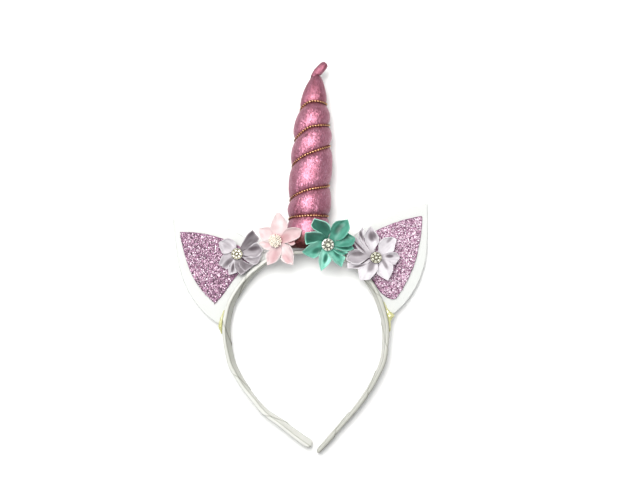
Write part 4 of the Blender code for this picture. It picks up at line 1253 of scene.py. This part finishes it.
def make_glue(side, name, material):
    """Lumpy bead along the seam, which spreads into a blob over the felt's lower tip."""
    arm = ARMS[side]
    rings = []
    reach = GLUE_REACHES[side]
    peak = GLUE_PEAK / reach
    angles = turns(GLUE_SIDES)
    for i in range(GLUE_STEPS + 1):
        share = i / GLUE_STEPS
        travel = EAR_FOOT - GLUE_START + reach * share
        ends = math.sqrt(max(1 - (2 * share - 1) ** 8, 0.02))
        size = np.interp(share, (0, peak / 3, peak, peak + 0.16, 1), (0.45, 0.70, 1.30, 0.80, 0.60))
        size *= ends * (1 + 0.22 * bumps(travel, side * 0.1, 0.0, 0.0016))
        radius = GLUE_RADIUS * size
        wide = 1.0 + (0.55 + 0.45 * side) * math.exp(-((share - peak) / 0.13) ** 2)
        aside = max(arm.outer_face(travel, level) for level in (-0.0042, 0.0042))
        outward = arm.outward(travel)
        centre = arm.centre(travel) + outward * (aside + radius * wide * 0.80)
        centre.z = max(centre.z + FELT_THICKNESS / 2 + radius * 0.55, radius * 1.25)
        ring = []
        for angle in angles:
            lump = radius * (1 + 0.20 * bumps(travel, angle * 0.0012, side * 0.2, 0.0012))
            away = outward * (math.cos(angle) * wide) + UP * math.sin(angle)
            ring.append(centre + away * lump)
        rings.append(ring)
    builder = Builder()
    # Painted light: the top of the bead is lighter and its underside darker
    builder.tube(rings, [0.5 + 0.3 * math.sin(angle) for angle in angles])
    builder.finish(name + "_bead", name, [material])


def make_stage():
    mesh = bpy.data.meshes.new("table_top")
    half = 3.0
    mesh.from_pydata([(-half, -half, 0), (half, -half, 0), (half, half, 0), (-half, half, 0)],
                     [], [(0, 1, 2, 3)])
    mesh.materials.append(table_top())
    add_object("table_top", mesh)


def add_light(name, place, aim, size, power, colour):
    data = bpy.data.lights.new(name, "AREA")
    data.shape = "DISK"
    data.size = size
    data.energy = power
    data.color = colour
    light = add_object(name, data)
    light.location = place
    light.rotation_euler = (Vector(aim) - Vector(place)).to_track_quat("-Z", "Y").to_euler()
    light.visible_camera = False
    return light


def make_lights():
    add_light("overhead softbox", (-0.11, 0.28, 0.78), (0.0, 0.02, 0.0), 0.50, 8.3,
              (1.0, 1.0, 0.985))
    add_light("side fill", (0.75, -0.45, 0.70), (0.0, 0.0, 0.0), 0.9, 1.6, (0.98, 0.99, 1.0))
    sheen = add_light("sheen softbox", (-0.20, 0.02, 0.80), (0.0, 0.06, 0.0), 0.34, 8.0,
                      (1.0, 0.97, 1.0))
    sheen.visible_diffuse = False
    world = bpy.data.worlds.new("studio")
    world.use_nodes = True
    sky = world.node_tree.nodes["Background"].inputs
    sky["Color"].default_value = (0.98, 0.99, 1.0, 1.0)
    sky["Strength"].default_value = 0.49
    bpy.context.scene.world = world


def make_camera():
    """Straight down on the headband, as the photograph was taken."""
    data = bpy.data.cameras.new("camera")
    data.sensor_width = 36.0
    data.lens = 52.45
    camera = add_object("camera", data)
    camera.location = (0.01357, 0.01368, 0.700)
    camera.rotation_euler = (0.0, 0.0, math.radians(-3.2))
    bpy.context.scene.camera = camera


def main():
    make_camera()
    make_stage()
    make_lights()
    bpy.context.scene.view_settings.view_transform = "Standard"
    ribbons = {name: satin(name + " satin", stops) for name, stops in SATINS.items()}
    make_band(ribbons["satin"])
    make_horn(foil_cloth())
    make_cord(gold_thread())
    felt, film, flake = felt_cloth(), glitter_film(), glitter_flake()
    for side, name, seed in ((-1, "ear_left", 11), (1, "ear_right", 12)):
        make_felt(side, name, felt)
        points = make_glitter(side, name, film)
        make_flakes(side, name, points, flake, seed)
    flowers = {flower.name: flower for flower in FLOWERS}
    for flower in FLOWERS:
        make_flower(flower, ribbons[flower.slot])
    glass = stone_glass()
    silver = stone_setting("silver setting", (1.25, 1.23, 1.18), (0.75, 0.74, 0.68))
    champagne = stone_setting("pale gold setting", (1.20, 1.18, 0.95), (0.72, 0.68, 0.42))
    for name, radius, count, middle, setting, seed in (
            ("lilac_left", 0.0040, 7, 0.30, champagne, 21), ("teal", 0.0045, 9, 0.50, silver, 22),
            ("lilac_right", 0.0040, 7, 0.34, champagne, 23)):
        flower = flowers["flower_" + name]
        make_gem("gem_" + name, flower, radius, count, middle, glass, setting, seed)
    make_stamens(flowers["flower_pink"], stamen_thread())
    glue = dried_glue()
    for side, name in ((-1, "ear_glue_left"), (1, "ear_glue_right")):
        make_glue(side, name, glue)


main()
bpy.context.view_layer.update()
